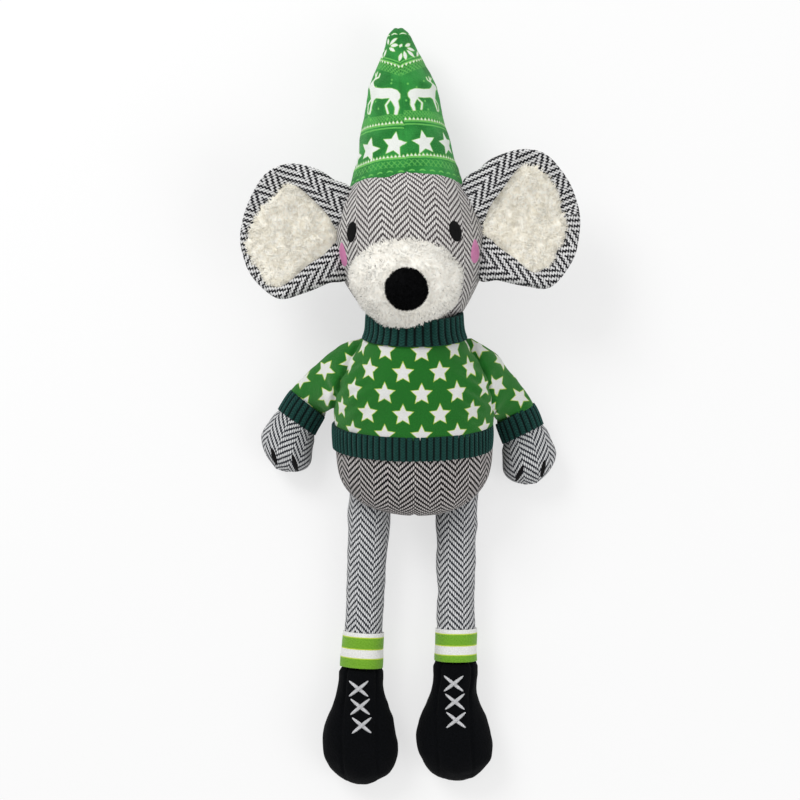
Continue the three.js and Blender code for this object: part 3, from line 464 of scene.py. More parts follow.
class Form:
    """Stations are (share, centre, half width vector, half depth vector), in millimetres."""

    def __init__(self, stations):
        self.shares, self.centres, self.acrosses, self.towards = zip(*stations)

    def section(self, shares):
        where = np.interp(shares, self.shares, np.arange(len(self.shares)))
        return [eased(values, where) for values in (self.centres, self.acrosses, self.towards)]

    def skin(self, start, end, rings, sides, grow=0.0, crowd=0.6):
        """Points by ring and side, and each ring's share. Sides run from the back round through the front."""
        step = np.linspace(0, 1, rings + 1)
        step = step - crowd * np.sin(2 * np.pi * step) / (2 * np.pi)
        shares = start + (end - start) * step
        centre, across, toward = self.section(shares)
        wide = np.linalg.norm(across, axis=1)[:, None]
        deep = np.linalg.norm(toward, axis=1)[:, None]
        turn = -np.pi / 2 + 2 * np.pi * np.linspace(0, 1, sides + 1)
        cos, sin = np.cos(turn)[None, :, None], np.sin(turn)[None, :, None]
        ring_x = (across / wide)[:, None, :]
        ring_z = (toward / deep)[:, None, :]
        points = centre[:, None, :] + ring_x * cos * (wide + grow)[:, None] + ring_z * sin * (deep + grow)[:, None]
        return points, shares


def flat_places(points):
    """How far each point is from the front line round its ring, and down the front line, along the cloth."""
    round_steps = np.linalg.norm(np.diff(points, axis=1), axis=2)
    around = np.concatenate([np.zeros((len(points), 1)), np.cumsum(round_steps, axis=1)], axis=1)
    front = points.shape[1] // 2
    around = around - around[:, front : front + 1]
    along_steps = np.linalg.norm(np.diff(points[:, front], axis=0), axis=1)
    along = np.concatenate([[0], np.cumsum(along_steps)])
    return np.stack([around, np.repeat(along[:, None], points.shape[1], axis=1)], axis=2)


def outward(points):
    """The unit outward way at every point of a grid, from the grid's own two directions."""
    down = np.gradient(points, axis=0)
    side = np.gradient(points, axis=1)
    wrapped = (points[:, 1] - points[:, -2]) / 2
    if np.allclose(points[:, 0], points[:, -1]):
        side[:, 0] = side[:, -1] = wrapped
    way = np.cross(down, side)
    way /= np.maximum(np.linalg.norm(way, axis=2, keepdims=True), 1e-9)
    middle = points.mean(axis=(0, 1))
    return way if ((points - middle) * way).sum() > 0 else -way


print("forms ready")

# %% [markdown]
# A grid of points becomes one mesh of quads, closed with a fan at either end. Its flat places go into a layer named
# cloth, which the finishes read. Numbers that a finish needs at every point go in as named attributes.

# %% Grid to mesh
def handed(mesh, material, body):
    """Puts a finished mesh in the scene with its material, on its body."""
    mesh.materials.append(material)
    made = added(mesh.name, mesh)
    if body:
        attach(made, body)
    return made


def sewn(name, points, material, body, replaced, flats=None, caps=True, extras=None):
    """A closed skin of cloth from rings of points. The last point of a ring lies on its first."""
    flats = flat_places(points) if flats is None else flats
    points = np.array(points, float)
    points[..., 2] = np.maximum(points[..., 2], 0.0)
    rings, used = points.shape[0], points.shape[1] - 1
    spots = points[:, :used].reshape(-1, 3)
    r, k = np.meshgrid(np.arange(rings - 1), np.arange(used), indexing="ij")
    nxt = (k + 1) % used
    quads = np.stack([r * used + k, r * used + nxt, (r + 1) * used + nxt, (r + 1) * used + k], axis=-1).reshape(-1, 4)
    quad_uv = np.stack([flats[r, k], flats[r, k + 1], flats[r + 1, k + 1], flats[r + 1, k]], axis=-2).reshape(-1, 4, 2)
    faces = [tuple(q) for q in quads.tolist()]
    uvs = [quad_uv.reshape(-1, 2)]
    if caps:
        spots = np.vstack([spots, points[0, :used].mean(0), points[-1, :used].mean(0)])
        for pole, ring in ((rings * used, 0), (rings * used + 1, rings - 1)):
            for j in range(used):
                a, b = ring * used + j, ring * used + (j + 1) % used
                faces.append((a, pole, b) if ring == 0 else (a, b, pole))
                here, there = flats[ring, j], flats[ring, j + 1]
                middle = (here + there) / 2
                uvs.append(np.array([here, middle, there] if ring == 0 else [here, there, middle]))
    mesh = bpy.data.meshes.new(name)
    mesh.from_pydata((spots * mm).tolist(), [], faces)
    layer = mesh.uv_layers.new(name="cloth")
    layer.data.foreach_set("uv", np.concatenate(uvs).astype(np.float32).ravel())
    for key, values in (extras or {}).items():
        flat = np.asarray(values, float)[:, :used].ravel()
        flat = np.concatenate([flat, np.full(len(spots) - len(flat), flat[-1])])
        mesh.attributes.new(key, "FLOAT", "POINT").data.foreach_set("value", flat.astype(np.float32))
    mesh.shade_smooth()
    turned_out(mesh)
    made = handed(mesh, material, body)
    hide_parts(*replaced)
    return made


def turned_out(mesh):
    """Makes a closed mesh face outward, by the sign of its volume."""
    spots = np.zeros(len(mesh.vertices) * 3)
    mesh.vertices.foreach_get("co", spots)
    spots = spots.reshape(-1, 3)
    mesh.calc_loop_triangles()
    corners = np.zeros(len(mesh.loop_triangles) * 3, int)
    mesh.loop_triangles.foreach_get("vertices", corners)
    a, b, c = spots[corners.reshape(-1, 3)].transpose(1, 0, 2)
    if np.einsum("ij,ij->i", a, np.cross(b, c)).sum() < 0:
        mesh.flip_normals()


def ripple(points, size, height, seed):
    """Soft uneven swelling: noise of this size and height in millimetres at every point."""
    flat = points.reshape(-1, 3) / size
    raw = np.array([noise.noise(Vector(p) + Vector((seed, seed * 2, 0))) for p in flat])
    return (raw * height).reshape(points.shape[:2] + (1,))


print("sewing ready")

# %% [markdown]
# # Body
# The torso is a pear: narrow at the neck, widest at the waist, round at the seat. It leans back a little, since the
# head is thicker than the body and lifts the neck off the floor.

# %% Torso cover
torso_length, torso_half_width, torso_half_depth, waist_share = 102.5, 40.2, 30, 0.376
pitch = np.radians(12.5)
torso_line = np.array((0, np.cos(pitch), np.sin(pitch)))
torso_front = np.array((0, -np.sin(pitch), np.cos(pitch)))
torso_shares = [
    (0, 0.14, 0.16), (0.03, 0.5, 0.48), (0.093, 0.78, 0.77), (0.2, 0.955, 0.935), (waist_share, 1, 1),
    (0.54, 0.985, 0.985), (0.69, 0.915, 0.95), (0.805, 0.74, 0.88), (0.9, 0.6, 0.79), (1, 0.57, 0.73),
]


def torso_middle(share):
    return zero + np.array((0, share * torso_length, 29.3 + (share - waist_share) * torso_length * np.tan(pitch)))


def smooth(share):
    """0 below 0 and 1 above 1, and an easy rise between them."""
    share = np.clip(share, 0, 1)
    return share * share * (3 - 2 * share)


def past_armhole(points):
    """Millimetres by which a front point lies outside the seam between the jumper's body and a sleeve."""
    x, y = points[..., 0] - zero[0], points[..., 1] - zero[1]
    left, right = np.interp(y, (60, 90.5), (42.2, 28)), np.interp(y, (53, 68, 80.8, 94), (40.8, 37.8, 32.5, 27.3))
    seam = np.where(x < 0, left, right)
    return np.where((points[..., 2] > torso_middle(0.7)[2]) & (y > 54), np.abs(x) - seam, -9)


torso = Form([
    (s, torso_middle(s), east * w * torso_half_width, torso_front * d * torso_half_depth) for s, w, d in torso_shares
])
points, shares = torso.skin(0, 1, 90, 150)
seam = np.exp(-((flat_places(points)[..., 0] / 1.3) ** 2)) * np.clip((0.12 - shares) / 0.12, 0, 1)[:, None]
bare = np.clip((0.4 - shares) / 0.06, 0, 1)[:, None, None]
points += outward(points) * (ripple(points, 26, 0.7, 3) - 0.9 * seam[..., None] + 1.2 * bare)
points[..., 2] -= 4.0 * smooth((past_armhole(points) + 1.6) / 2)
belly = sewn("belly_cover", points, belly_tweed, "torso", ["torso_skin", "torso_stuffing"])
print("belly", len(belly.data.polygons), "faces")

# %% [markdown]
# The jumper is drawn over the torso. Its fleece is thick enough to bulge a little between the seams of the rib bands,
# and it wrinkles where the arms pull at it.

# %% Jumper
hem_start, hem_end, collar_start = 34.6 / torso_length, 46.4 / torso_length, 1 - 12.5 / torso_length


def tucked(points, ways, depth, rows=4):
    """Rolls both open edges of a sleeve of cloth inward, so that it has a thickness there."""
    first = [points[0] - ways[0] * depth * (1 - i / rows) for i in range(rows)]
    last = [points[-1] - ways[-1] * depth * ((i + 1) / rows) for i in range(rows)]
    return np.concatenate([np.array(first), points, np.array(last)])


points, shares = torso.skin(hem_end - 0.01, collar_start + 0.04, 70, 260, 1.9, 0)
ways = outward(points)
share_grid = shares[:, None, None]
side_way = points[..., :1] - zero[0]
swell = 1.5 * np.sin(np.pi * np.clip((share_grid - hem_end) / (collar_start + 0.03 - hem_end), 0, 1)) ** 0.5
pull = 0.9 * np.exp(-(((np.abs(side_way) - 31) / 9) ** 2)) * np.exp(-(((share_grid - 0.66) / 0.16) ** 2))
edge = past_armhole(points)
folds = np.sin((points[..., 1:2] - zero[1]) * 0.9 + np.abs(side_way) * 0.55) * pull
points = points + ways * (swell + folds * 0.7 + ripple(points, 19, 0.8, 5) - 0.4)
points[..., 2] -= 3.0 * smooth((edge + 0.6) / 1.8)
points = tucked(points, ways, 2.2)
jumper = sewn("jumper_body_cloth", points, jumper_fleece, "torso", ["jumper_body"])
print("jumper", len(jumper.data.polygons), "faces")

# %% [markdown]
# A rib band is a closed tube of knitting round the body. Its outline in section is a rounded strip, and the cords are
# ridges across it. The number of cords is rounded so that they meet without a seam.

# %% Rib bands
def ribbed(name, form, start, end, inner, proud, body, node, rib_pitch, lift=0.0):
    per_cord, rows = 8, 14
    middle, _ = form.skin((start + end) / 2, (start + end) / 2 + 0.001, 1, 160, proud)
    round_length = np.linalg.norm(np.diff(middle[0], axis=0), axis=1).sum()
    cords = int(round(round_length / rib_pitch))
    sides = cords * per_cord
    outer, _ = form.skin(start, end, rows, sides, proud, 0)
    ways = outward(outer)
    inside, _ = form.skin(start, end, rows, sides, inner, 0)
    turn = np.linspace(0, 1, sides + 1) * cords
    cord = np.abs(np.sin(np.pi * turn)) ** 0.75
    bow = np.sin(np.pi * np.linspace(0.08, 0.92, rows + 1)) ** 0.4
    height = (cord[None, :] * 1.0 - 0.75) * bow[:, None] + 0.35 * (bow[:, None] - 1)
    outer = outer + ways * height[..., None]
    outer = outer + ripple(outer, 14, 0.5, len(name)) * ways
    outer, inside = outer + lift, inside + lift
    profile = np.concatenate([outer, inside[::-1]])
    flats = np.zeros(profile.shape[:2] + (2,))
    flats[..., 0] = turn[None, :]
    span = np.linalg.norm(outer[-1, 0] - outer[0, 0])
    flats[: rows + 1, :, 1] = np.linspace(0, span, rows + 1)[:, None]
    flats[rows + 1 :, :, 1] = np.linspace(span, 0, rows + 1)[:, None] + span * 2
    profile = np.concatenate([profile, profile[:1]])
    flats = np.concatenate([flats, flats[-1:]])
    band = sewn(name, profile, rib, body, [node], flats=flats, caps=False)
    welded(band.data)
    return band


def welded(mesh, reach=0.01):
    """Joins corners that lie on each other."""
    work = bmesh.new()
    work.from_mesh(mesh)
    bmesh.ops.remove_doubles(work, verts=work.verts, dist=reach * mm)
    work.to_mesh(mesh)
    work.free()
    turned_out(mesh)


seam_over = 0.004
hem = ribbed(
    "jumper_hem_band", torso, hem_start, hem_end + seam_over, 0.2, 2.5, "torso", "jumper_hem", 3.2, east * -0.7,
)
collar = ribbed(
    "jumper_collar_band", torso, collar_start - seam_over, 1, 0.2, 2.6, "torso", "jumper_collar", 4.3, torso_line * 3,
)
print("hem and collar", len(hem.data.polygons), len(collar.data.polygons), "faces")

# %% [markdown]
# # Head
# The head is one swollen egg of tweed with a flat place at the back where it lies. The columns of the tweed run up
# the face.

# %% Head cover
head_length, head_half_width, head_half_depth, brow_share = 86.5, 39.5, 38.5, 0.486
head_shares = [
    (0, 0.5, 0.48), (0.092, 0.66, 0.65), (0.197, 0.81, 0.83), (0.324, 0.945, 0.95), (brow_share, 1, 1),
    (0.66, 0.962, 0.975), (0.8, 0.835, 0.86), (0.9, 0.635, 0.68), (0.97, 0.355, 0.39), (1, 0.1, 0.1),
]


def head_middle(share):
    return zero + np.array((-4.6 * share, torso_length - 4 + share * head_length, 37.0))


head = Form([
    (s, head_middle(s), east * w * head_half_width, north_up * d * head_half_depth) for s, w, d in head_shares
])
points, shares = head.skin(0, 1, 130, 190)
points += outward(points) * ripple(points, 30, 0.8, 9)
head_cover = sewn("head_cover", points, head_tweed, "head", ["head_skin", "head_stuffing"])
head_core = head_middle(brow_share)
print("head", len(head_cover.data.polygons), "faces, middle", head_core.round(1))

# %% [markdown]
# Tufts are what make pile look like pile. Each one is a thin bent cone, thicker at the root, and thousands of them
# are joined into one mesh. They lean the way the cloth was brushed, with some disorder.

# %% Tufts
def tufts(name, roots, ways, size, lean, material, body, bend, steps, spread, roll=None, own_shade=0.15):
    """Bent cones of (length, width) on their roots, shaded mostly by the cloth's own outward way."""
    count, corners = len(roots), 3
    ways = ways / np.linalg.norm(ways, axis=1, keepdims=True)
    stray = dice.normal(size=(count, 3))
    along = ways + lean + stray * spread
    along /= np.linalg.norm(along, axis=1, keepdims=True)
    turned = dice.normal(size=(count, 3))
    curl = np.cross(along, turned if roll is None else roll + turned * 0.3)
    curl /= np.maximum(np.linalg.norm(curl, axis=1, keepdims=True), 1e-6)
    other = np.cross(along, curl)
    lengths = size[0] * dice.uniform(0.6, 1.25, (count, 1))
    widths = size[1] * dice.uniform(0.7, 1.3, (count, 1))
    spots = []
    for i in range(steps):
        t = i / steps
        middle = roots + along * lengths * t + curl * lengths * bend * t * t
        taper = widths * (1 - t) ** 0.6 * (0.75 if i == 0 else 1)
        for angle in 2 * np.pi * np.arange(corners) / corners:
            spots.append(middle + (curl * np.cos(angle) + other * np.sin(angle)) * taper / 2)
    spots.append(roots + along * lengths * 0.97 + curl * lengths * bend)
    spots = np.stack(spots, axis=1)
    each, top = steps * corners + 1, (steps - 1) * corners
    pairs = [(c, (c + 1) % corners) for c in range(corners)]
    faces = [(i + c, i + d, i + corners + d, i + corners + c) for i in range(0, top, corners) for c, d in pairs]
    faces += [(top + c, top + d, each - 1) for c, d in pairs] + [tuple(range(corners))[::-1]]
    mesh = bpy.data.meshes.new(name)
    corner_list = np.array([v for f in faces for v in f])
    all_corners = (corner_list[None, :] + (np.arange(count) * each)[:, None]).ravel()
    all_sizes = np.tile([len(f) for f in faces], count)
    mesh.vertices.add(count * each)
    mesh.vertices.foreach_set("co", (spots.reshape(-1, 3) * mm).astype(np.float32).ravel())
    mesh.loops.add(len(all_corners))
    mesh.loops.foreach_set("vertex_index", all_corners.astype(np.int32))
    mesh.polygons.add(len(all_sizes))
    starts = np.concatenate([[0], np.cumsum(all_sizes)[:-1]])
    mesh.polygons.foreach_set("loop_start", starts.astype(np.int32))
    mesh.update(calc_edges=True)
    mesh.validate()
    mesh.shade_smooth()
    own = np.zeros(len(mesh.vertices) * 3)
    mesh.vertices.foreach_get("normal", own)
    soft = own.reshape(count, each, 3) * own_shade + ways[:, None, :]
    soft /= np.linalg.norm(soft, axis=2, keepdims=True)
    mesh.normals_split_custom_set_from_vertices(soft.reshape(-1, 3).tolist())
    return handed(mesh, material, body)


def locks(roots, size, seed):
    """One random way for every lock of this size, shared by the tufts in it."""
    spots = roots / size
    return np.array([tuple(noise.noise_vector(Vector(p) + Vector((seed, 0, seed)))) for p in spots]) * 2


def scattered(points, count, keep=None):
    """Random places over a grid of points, even by area where keep allows, with the outward way at each."""
    ways = outward(points)
    a, b, c, d = points[:-1, :-1], points[1:, :-1], points[1:, 1:], points[:-1, 1:]
    area = np.linalg.norm(np.cross(c - a, d - b), axis=2)
    if keep is not None:
        area = area * keep[:-1, :-1]
    chance = (area / area.sum()).ravel()
    pick = dice.choice(len(chance), size=count, p=chance)
    r, k = np.unravel_index(pick, area.shape)
    s, t = dice.random((count, 1)), dice.random((count, 1))
    roots = a[r, k] * (1 - s) * (1 - t) + b[r, k] * s * (1 - t) + c[r, k] * s * t + d[r, k] * (1 - s) * t
    return roots, ways[r, k]


print("tufts ready")

# %% [markdown]
# The muzzle is a stuffed mound of white plush. Seen from the front it is squarer than an oval, so its reach is given
# at a number of angles round its middle.

# %% Muzzle
muzzle_middle = head_core + np.array((-2.1, -20.5, 21.5))
muzzle_angles = np.radians([-90, -64, -32, -10, 11, 38, 70, 130, 153, 169, 184, 200, 217, 245, 270])
muzzle_reach = np.array([23.2, 23.0, 24.6, 27.2, 28.6, 28.2, 27.0, 26.8, 28.4, 28.8, 27.7, 24.9, 24.4, 23.6, 23.2])


def mound(middle, reach_at, depth, rings, sides, low):
    """Rings of a mound from below its widest (low, in quarter turns) up to its top."""
    turn = np.linspace(-np.pi / 2, 3 * np.pi / 2, sides + 1)
    lift = np.linspace(low * np.pi / 2, np.pi / 2 - 0.02, rings + 1)[:, None]
    x, y = (reach_at(turn) * way(turn) * np.cos(lift) for way in (np.cos, np.sin))
    return middle + np.stack([x, y, np.repeat(np.sin(lift) * depth, sides + 1, axis=1)], axis=2)


points = mound(muzzle_middle, lambda turn: np.interp(turn, muzzle_angles, muzzle_reach), 28.0, 70, 140, -0.55)
points += outward(points) * (ripple(points, 10, 1.2, 2) + ripple(points, 4, 0.5, 4))
muzzle = sewn("muzzle_cover", points, muzzle_pile, "head", ["muzzle_skin", "muzzle_stuffing"])
roots, ways = scattered(points, 18000)
flow = (roots - muzzle_middle) * np.array((1, 1, 0)) / 30 - north * 0.3 + locks(roots, 7, 1) * 0.6
muzzle_fur = tufts(
    "muzzle_fur", roots - ways * 0.7, ways, (2.5, 1.0), flow * 1.3, muzzle_pile, "head", 0.4, 3, 0.22,
    own_shade=0.1,
)
print("muzzle", len(muzzle.data.polygons), "faces and", len(muzzle_fur.data.polygons), "in its pile")

# %% [markdown]
# The nose is a ball of black fleece sewn to the front of the muzzle, with a very short nap.

# %% Nose
nose_middle, nose_radius = muzzle_middle + np.array((0, -4.9, 35)), 10.2
points = mound(nose_middle, lambda turn: np.full_like(turn, nose_radius), nose_radius, 50, 80, -0.9)
points += outward(points) * ripple(points, 4, 0.5, 6)
nose = sewn("nose_ball", points, nose_fleece, "head", ["nose"])
roots, ways = scattered(points, 5000)
nose_nap = tufts(
    "nose_nap", roots - ways * 0.2, ways, (1.4, 0.5), north_up * 0.1, nose_fleece, "head", 0.3, 2, 0.5,
)
print("nose", len(nose.data.polygons), "faces and", len(nose_nap.data.polygons), "in its nap")

# %% [markdown]
# # Embroidery
# Eyes, cheeks, claws and laces are satin stitch: threads laid side by side over a low pad. Each patch is laid on the
# cloth under it by casting rays down onto that cloth, so it follows every swelling.

# %% Satin stitch patches
def cloth_tree(made):
    mesh = made.data
    return BVHTree.FromPolygons([v.co.copy() for v in mesh.vertices], [list(p.vertices) for p in mesh.polygons])


def laid(tree, middle, ways, outline, name, thread, body, node, height, rings=12):
    """A padded patch over an outline of (right, up) places round a middle, all in millimetres.

    Ways are right, up and out. Where a ray misses the cloth, at its very edge, the place is drawn toward the middle.
    """
    right_way, up_way, out_way = ways
    sides = len(outline)
    levels = [(t, height * (1 - t**5) + 0.02) for t in np.linspace(0.02, 0.98, rings)]
    levels += [(1.0, 0.0), (0.98, -0.35), (0.5, -0.4), (0.02, -0.4)]
    points = np.zeros((len(levels), sides + 1, 3))
    flats = np.zeros((len(levels), sides + 1, 2))
    for i, (reach, lift) in enumerate(levels):
        for k in range(sides + 1):
            for kept in (1, 0.94, 0.88, 0.8, 0.7, 0.6, 0.5):
                flats[i, k] = a, b = outline[k % sides] * reach * kept
                place = middle + right_way * a + up_way * b
                hit, way, _, _ = tree.ray_cast(Vector((place + out_way * 60) * mm), Vector(-out_way))
                if hit is not None:
                    break
            ridge = 0.07 * np.cos(2 * np.pi * b / thread_wide) if lift > 0.05 else 0
            points[i, k] = place if hit is None else np.array(hit) / mm + np.array(way) * (lift + ridge)
    return sewn(name, points, threads[thread], body, [node], flats=flats)


def oval(width, height, turn, count=48):
    a = np.linspace(0, 2 * np.pi, count, endpoint=False)
    x, y = np.cos(a) * width / 2, np.sin(a) * height / 2
    return np.stack([x * np.cos(turn) - y * np.sin(turn), x * np.sin(turn) + y * np.cos(turn)], axis=1)


def turned(right, up, angle):
    """Two ways turned in their own plane."""
    return right * np.cos(angle) + up * np.sin(angle), up * np.cos(angle) - right * np.sin(angle)


head_tree = cloth_tree(head_cover)
for name, sign in (("left", -1), ("right", 1)):
    for patch, aside, above, size, lean, thread in (
        ("eye", sign * 43.8 - 6.8, 5.6, (7.8, 10.9), sign * 14, "black_thread"),
        ("cheek", sign * 62.4 - 3.2, -4.7 + sign * 0.7, (8.0, 12.4), 0, "pink_thread"),
    ):
        out_way = np.array((np.sin(np.radians(aside)), 0, np.cos(np.radians(aside))))
        outline = oval(*size, np.radians(lean))
        if patch == "cheek":
            outline[:, 0] *= 1 - outline[:, 1] * 0.045
        ways, spot, node = (np.cross(north, out_way), north, out_way), head_core + north * above, f"{patch}_{name}"
        laid(head_tree, spot, ways, outline, f"{node}_stitched", thread, "head", node, 0.8)
print("eyes and cheeks stitched")

# %% [markdown]
# # Hat
# The hat is a stuffed cone of printed fleece. Its print is a traditional winter knit: bands of teeth and lattice, a
# row of stars, deer back to back and leaf sprigs. Each motif is drawn here as distances in millimetres to its edge,
# at every corner of a fine mesh, and the finish only has to cut at zero.

# %% Motifs as distances
def to_line(u, v, a, b):
    a, b = np.array(a, float), np.array(b, float)
    along = b - a
    t = np.clip(((u - a[0]) * along[0] + (v - a[1]) * along[1]) / (along @ along), 0, 1)
    return np.hypot(u - a[0] - t * along[0], v - a[1] - t * along[1])


def stroke(u, v, corners, width):
    best = np.full(u.shape, 99.0)
    for a, b in zip(corners[:-1], corners[1:]):
        best = np.minimum(best, to_line(u, v, a, b))
    return best - width / 2


def filled(u, v, corners):
    best = np.full(u.shape, 99.0)
    inside = np.zeros(u.shape, bool)
    for a, b in zip(corners, corners[1:] + corners[:1]):
        best = np.minimum(best, to_line(u, v, a, b))
        crosses = (a[1] > v) != (b[1] > v)
        with np.errstate(divide="ignore", invalid="ignore"):
            x = a[0] + (v - a[1]) * (b[0] - a[0]) / (b[1] - a[1])
        inside ^= crosses & (u < x)
    return np.where(inside, -best, best)


deer_body = [
    (1.2, 16.6), (2.4, 17.9), (3.6, 18.5), (5.0, 19.4), (6.2, 18.2), (7.6, 16.4), (9.2, 15.3), (13, 15.0), (18, 15.4),
    (20.6, 14.6), (21.8, 12.8), (21.8, 10.4), (20.9, 8.4), (21.3, 4.8), (20.4, 0.5), (19.2, 0.5), (19.5, 4.6),
    (18.4, 7.2), (17.0, 9.6), (13.6, 9.2), (10.2, 9.5), (8.6, 8.4), (7.8, 5.0), (7.0, 0.8), (5.9, 0.9), (6.5, 4.8),
    (6.6, 8.4), (5.6, 10.6), (4.6, 12.6), (3.6, 14.4), (2.6, 15.4), (1.4, 15.6),
]
deer_strokes = [
    ([(7.0, 9.4), (4.2, 6.0), (4.6, 2.2), (5.4, 1.2)], 0.85), ([(17.9, 9.6), (15.6, 5.6), (16.6, 1.2)], 0.85),
    ([(4.6, 17.8), (6.8, 20.2), (6.6, 23.4)], 1.0), ([(6.4, 19.8), (9.2, 21.2), (9.4, 22.8)], 0.9),
    ([(6.7, 21.2), (4.4, 22.9)], 0.85),
]


def deer(u, v):
    best = filled(u, v, deer_body)
    for corners, width in deer_strokes:
        best = np.minimum(best, stroke(u, v, corners, width))
    return best


def star(u, v, radius, waist=0.47):
    turns = np.pi / 2 + np.arange(10) * np.pi / 5
    reach = np.where(np.arange(10) % 2 == 0, radius, radius * waist)
    return filled(u, v, list(zip((reach * np.cos(turns)).tolist(), (reach * np.sin(turns)).tolist())))


def leaf(u, v, start, end, width):
    start, end = np.array(start), np.array(end)
    length = np.linalg.norm(end - start)
    way = (end - start) / length
    t = ((u - start[0]) * way[0] + (v - start[1]) * way[1]) / length
    off = np.abs(-(u - start[0]) * way[1] + (v - start[1]) * way[0])
    body = off - width / 2 * np.clip(1 - (2 * t - 1) ** 2, 0, 1)
    return np.where((t < 0) | (t > 1), np.maximum(off, np.maximum(-t, t - 1) * length), body)


def teeth(u, v, middle, pitch, height):
    """A row of small triangles that stand on a line."""
    across = np.abs((u / pitch) % 1 - 0.5) * pitch
    rise = v - middle
    return np.maximum(across - (height - rise) * pitch * 0.42 / height, np.maximum(-rise, rise - height)) * 0.8


print("deer of", len(deer_body), "corners, stars, leaves and teeth drawn")

# %% [markdown]
# The motifs are placed by how far they lie below the tip and how far round from the front seam. Two panels meet at
# that seam, so the upper bands dip there.

# %% Hat with its print
hat_shares = [
    (-0.06, 1.14), (0, 1.065), (0.13, 0.935), (0.25, 0.85), (0.4, 0.75), (0.57, 0.635), (0.64, 0.59), (0.765, 0.42),
    (0.88, 0.275), (0.96, 0.19), (1, 0.08),
]
hat_length, hat_half_width = 87.3, 28.9
hat_line = np.array((-np.sin(np.radians(3.1)), 1, -np.sin(np.radians(7.5))))
hat_line /= np.linalg.norm(hat_line)
hat_across = np.cross(hat_line, north_up)
hat_across /= np.linalg.norm(hat_across)
hat_toward = np.cross(hat_across, hat_line)
hat_root = head_core + hat_line * 31
hat_form = Form([
    (s, hat_root + hat_line * s * hat_length, hat_across * w * hat_half_width, hat_toward * w * hat_half_width)
    for s, w in hat_shares
])
hat_sides = 400
points, shares = hat_form.skin(-0.06, 1, 230, hat_sides, 0, 0.25)
turn = (0.5 - np.linspace(0, 1, hat_sides + 1)) * 2 * np.pi
reached = (points[..., 0] - points[..., 0].mean(axis=1, keepdims=True)) / np.ptp(points[..., 0], axis=1)[:, None] * 2
brim = np.clip((0.1 - shares) / 0.16, 0, 1)[:, None]
points += outward(points) * ((0.9 * (1 - np.abs(reached)) - 2.0 * np.clip(reached, 0, 1) ** 2) * brim)[..., None]
points[..., 0] += np.interp(shares, (0.3, 0.55, 0.7, 0.9, 1), (0, 0.5, 1.2, 1.4, 0.6))[:, None] * np.clip(reached, 0, 1)
radius = np.linalg.norm(points - points.mean(axis=1, keepdims=True), axis=2).mean(axis=1)
seam_line = points[:, hat_sides // 2]
down_picture = (zero_y + view_y - seam_line[:, 1]) * 1178 / (view_height - seam_line[:, 2]) + 196.6
below = down_picture[:, None] + 0 * turn[None, :]
round_way = radius[:, None] * turn[None, :]
right_panel = round_way > 0
dip_left = np.interp(below, (4, 10, 22, 32, 45, 58, 68), (0, 0.42, 0.42, 0.18, 0.07, 0.06, 0))
dip_right = np.interp(below, (4, 10, 22, 32, 45), (0, 0.4, 0.4, 0.1, 0))
jump = np.interp(below, (30, 40, 54, 62, 68), (0, 1.8, 1.8, 0.8, 0.3))
level = below + np.where(right_panel, dip_right, dip_left) * np.abs(round_way) + np.where(right_panel, jump, 0)

white, lime = np.full(below.shape, 9.0), np.full(below.shape, 9.0)
for seam_turn in (0.0, np.pi, -np.pi):
    for flip, rump, stretch, feet, rise, tall in ((1, 24.6, 1.0, 44.3, 0.1, 0.8), (-1, 22.6, 0.92, 46.4, 0.23, 0.94)):
        ahead = (turn[None, :] - seam_turn) * flip * 17.2
        up = feet - below - rise * np.abs(ahead)
        white = np.minimum(white, deer(rump - ahead * stretch + 0 * below, up / tall) * tall)
for k in range(-5, 5):
    aside, down = round_way - (10.4 + 15.9 * k), np.interp(k, (-2, -1, 0, 1), (60.9, 60.6, 60.2, 59.2)) - below
    tilt = (1 if k >= 0 else -1) * np.radians(np.interp(k, (-2, -1, 0, 1), (21, 12, 9, 13)))
    u, v = aside * np.cos(tilt) + down * np.sin(tilt), down * np.cos(tilt) - aside * np.sin(tilt)
    white = np.minimum(white, star(u / np.interp(k, (-2, -1), (1.2, 1)), v, 6.7))
left_sprig = ((30, 1.4, 7.2), (-3, 2.0, 6.6), (-38, 1.4, 5.8), (-125, 1.6, 6.0), (95, 1.2, 4.6))
right_sprig = ((32, 1.0, 4.8), (-8, 1.8, 6.6), (-41, 2.1, 7.6), (-82, 2.0, 6.8), (-110, 3.2, 7.4), (142, 0.8, 2.3))
for u0, s0, sprig in ((-7.0, 8.2, left_sprig), (2.0, 9.8, right_sprig), (-17, 8.4, right_sprig), (13, 8.8, left_sprig)):
    for angle, first, last in sprig:
        way = np.array((np.cos(np.radians(angle)), np.sin(np.radians(angle))))
        white = np.minimum(white, leaf(round_way - u0, s0 - below, way * first, way * last, 1.75))
for u0 in (-2.6, 2.4, -7.6, 7.4):
    cap = np.abs(np.hypot(round_way - u0, (below - 4.0) * 1.1) - 2.2) - 0.3
    white = np.minimum(white, np.where(below < 2.6, cap, 9))
for sense, middle, pitch, height in ((1, 19.4, 2.0, 1.4), (-1, -50.1, 2.15, 1.5), (-1, -67.6, 2.1, 1.4)):
    white = np.minimum(white, teeth(round_way, sense * level, middle, pitch, height))
for middle, half in ((17.6, 0.25), (19.0, 0.25), (50.7, 0.28), (52.3, 0.28), (68.2, 0.3)):
    lime = np.minimum(lime, np.abs(level - middle) - half)
for low, high, pitch in ((20.9, 24.6, 2.0), (45.2, 48.4, 1.8), (69.5, 72.8, 3.0)):
    climb, fall = (np.abs((round_way + way * level) % pitch - pitch / 2) for way in (1, -1))
    lattice = np.minimum(climb, fall) * 0.7 - 0.1
    lime = np.minimum(lime, np.maximum(lattice, -np.minimum(level - low, high - level)))
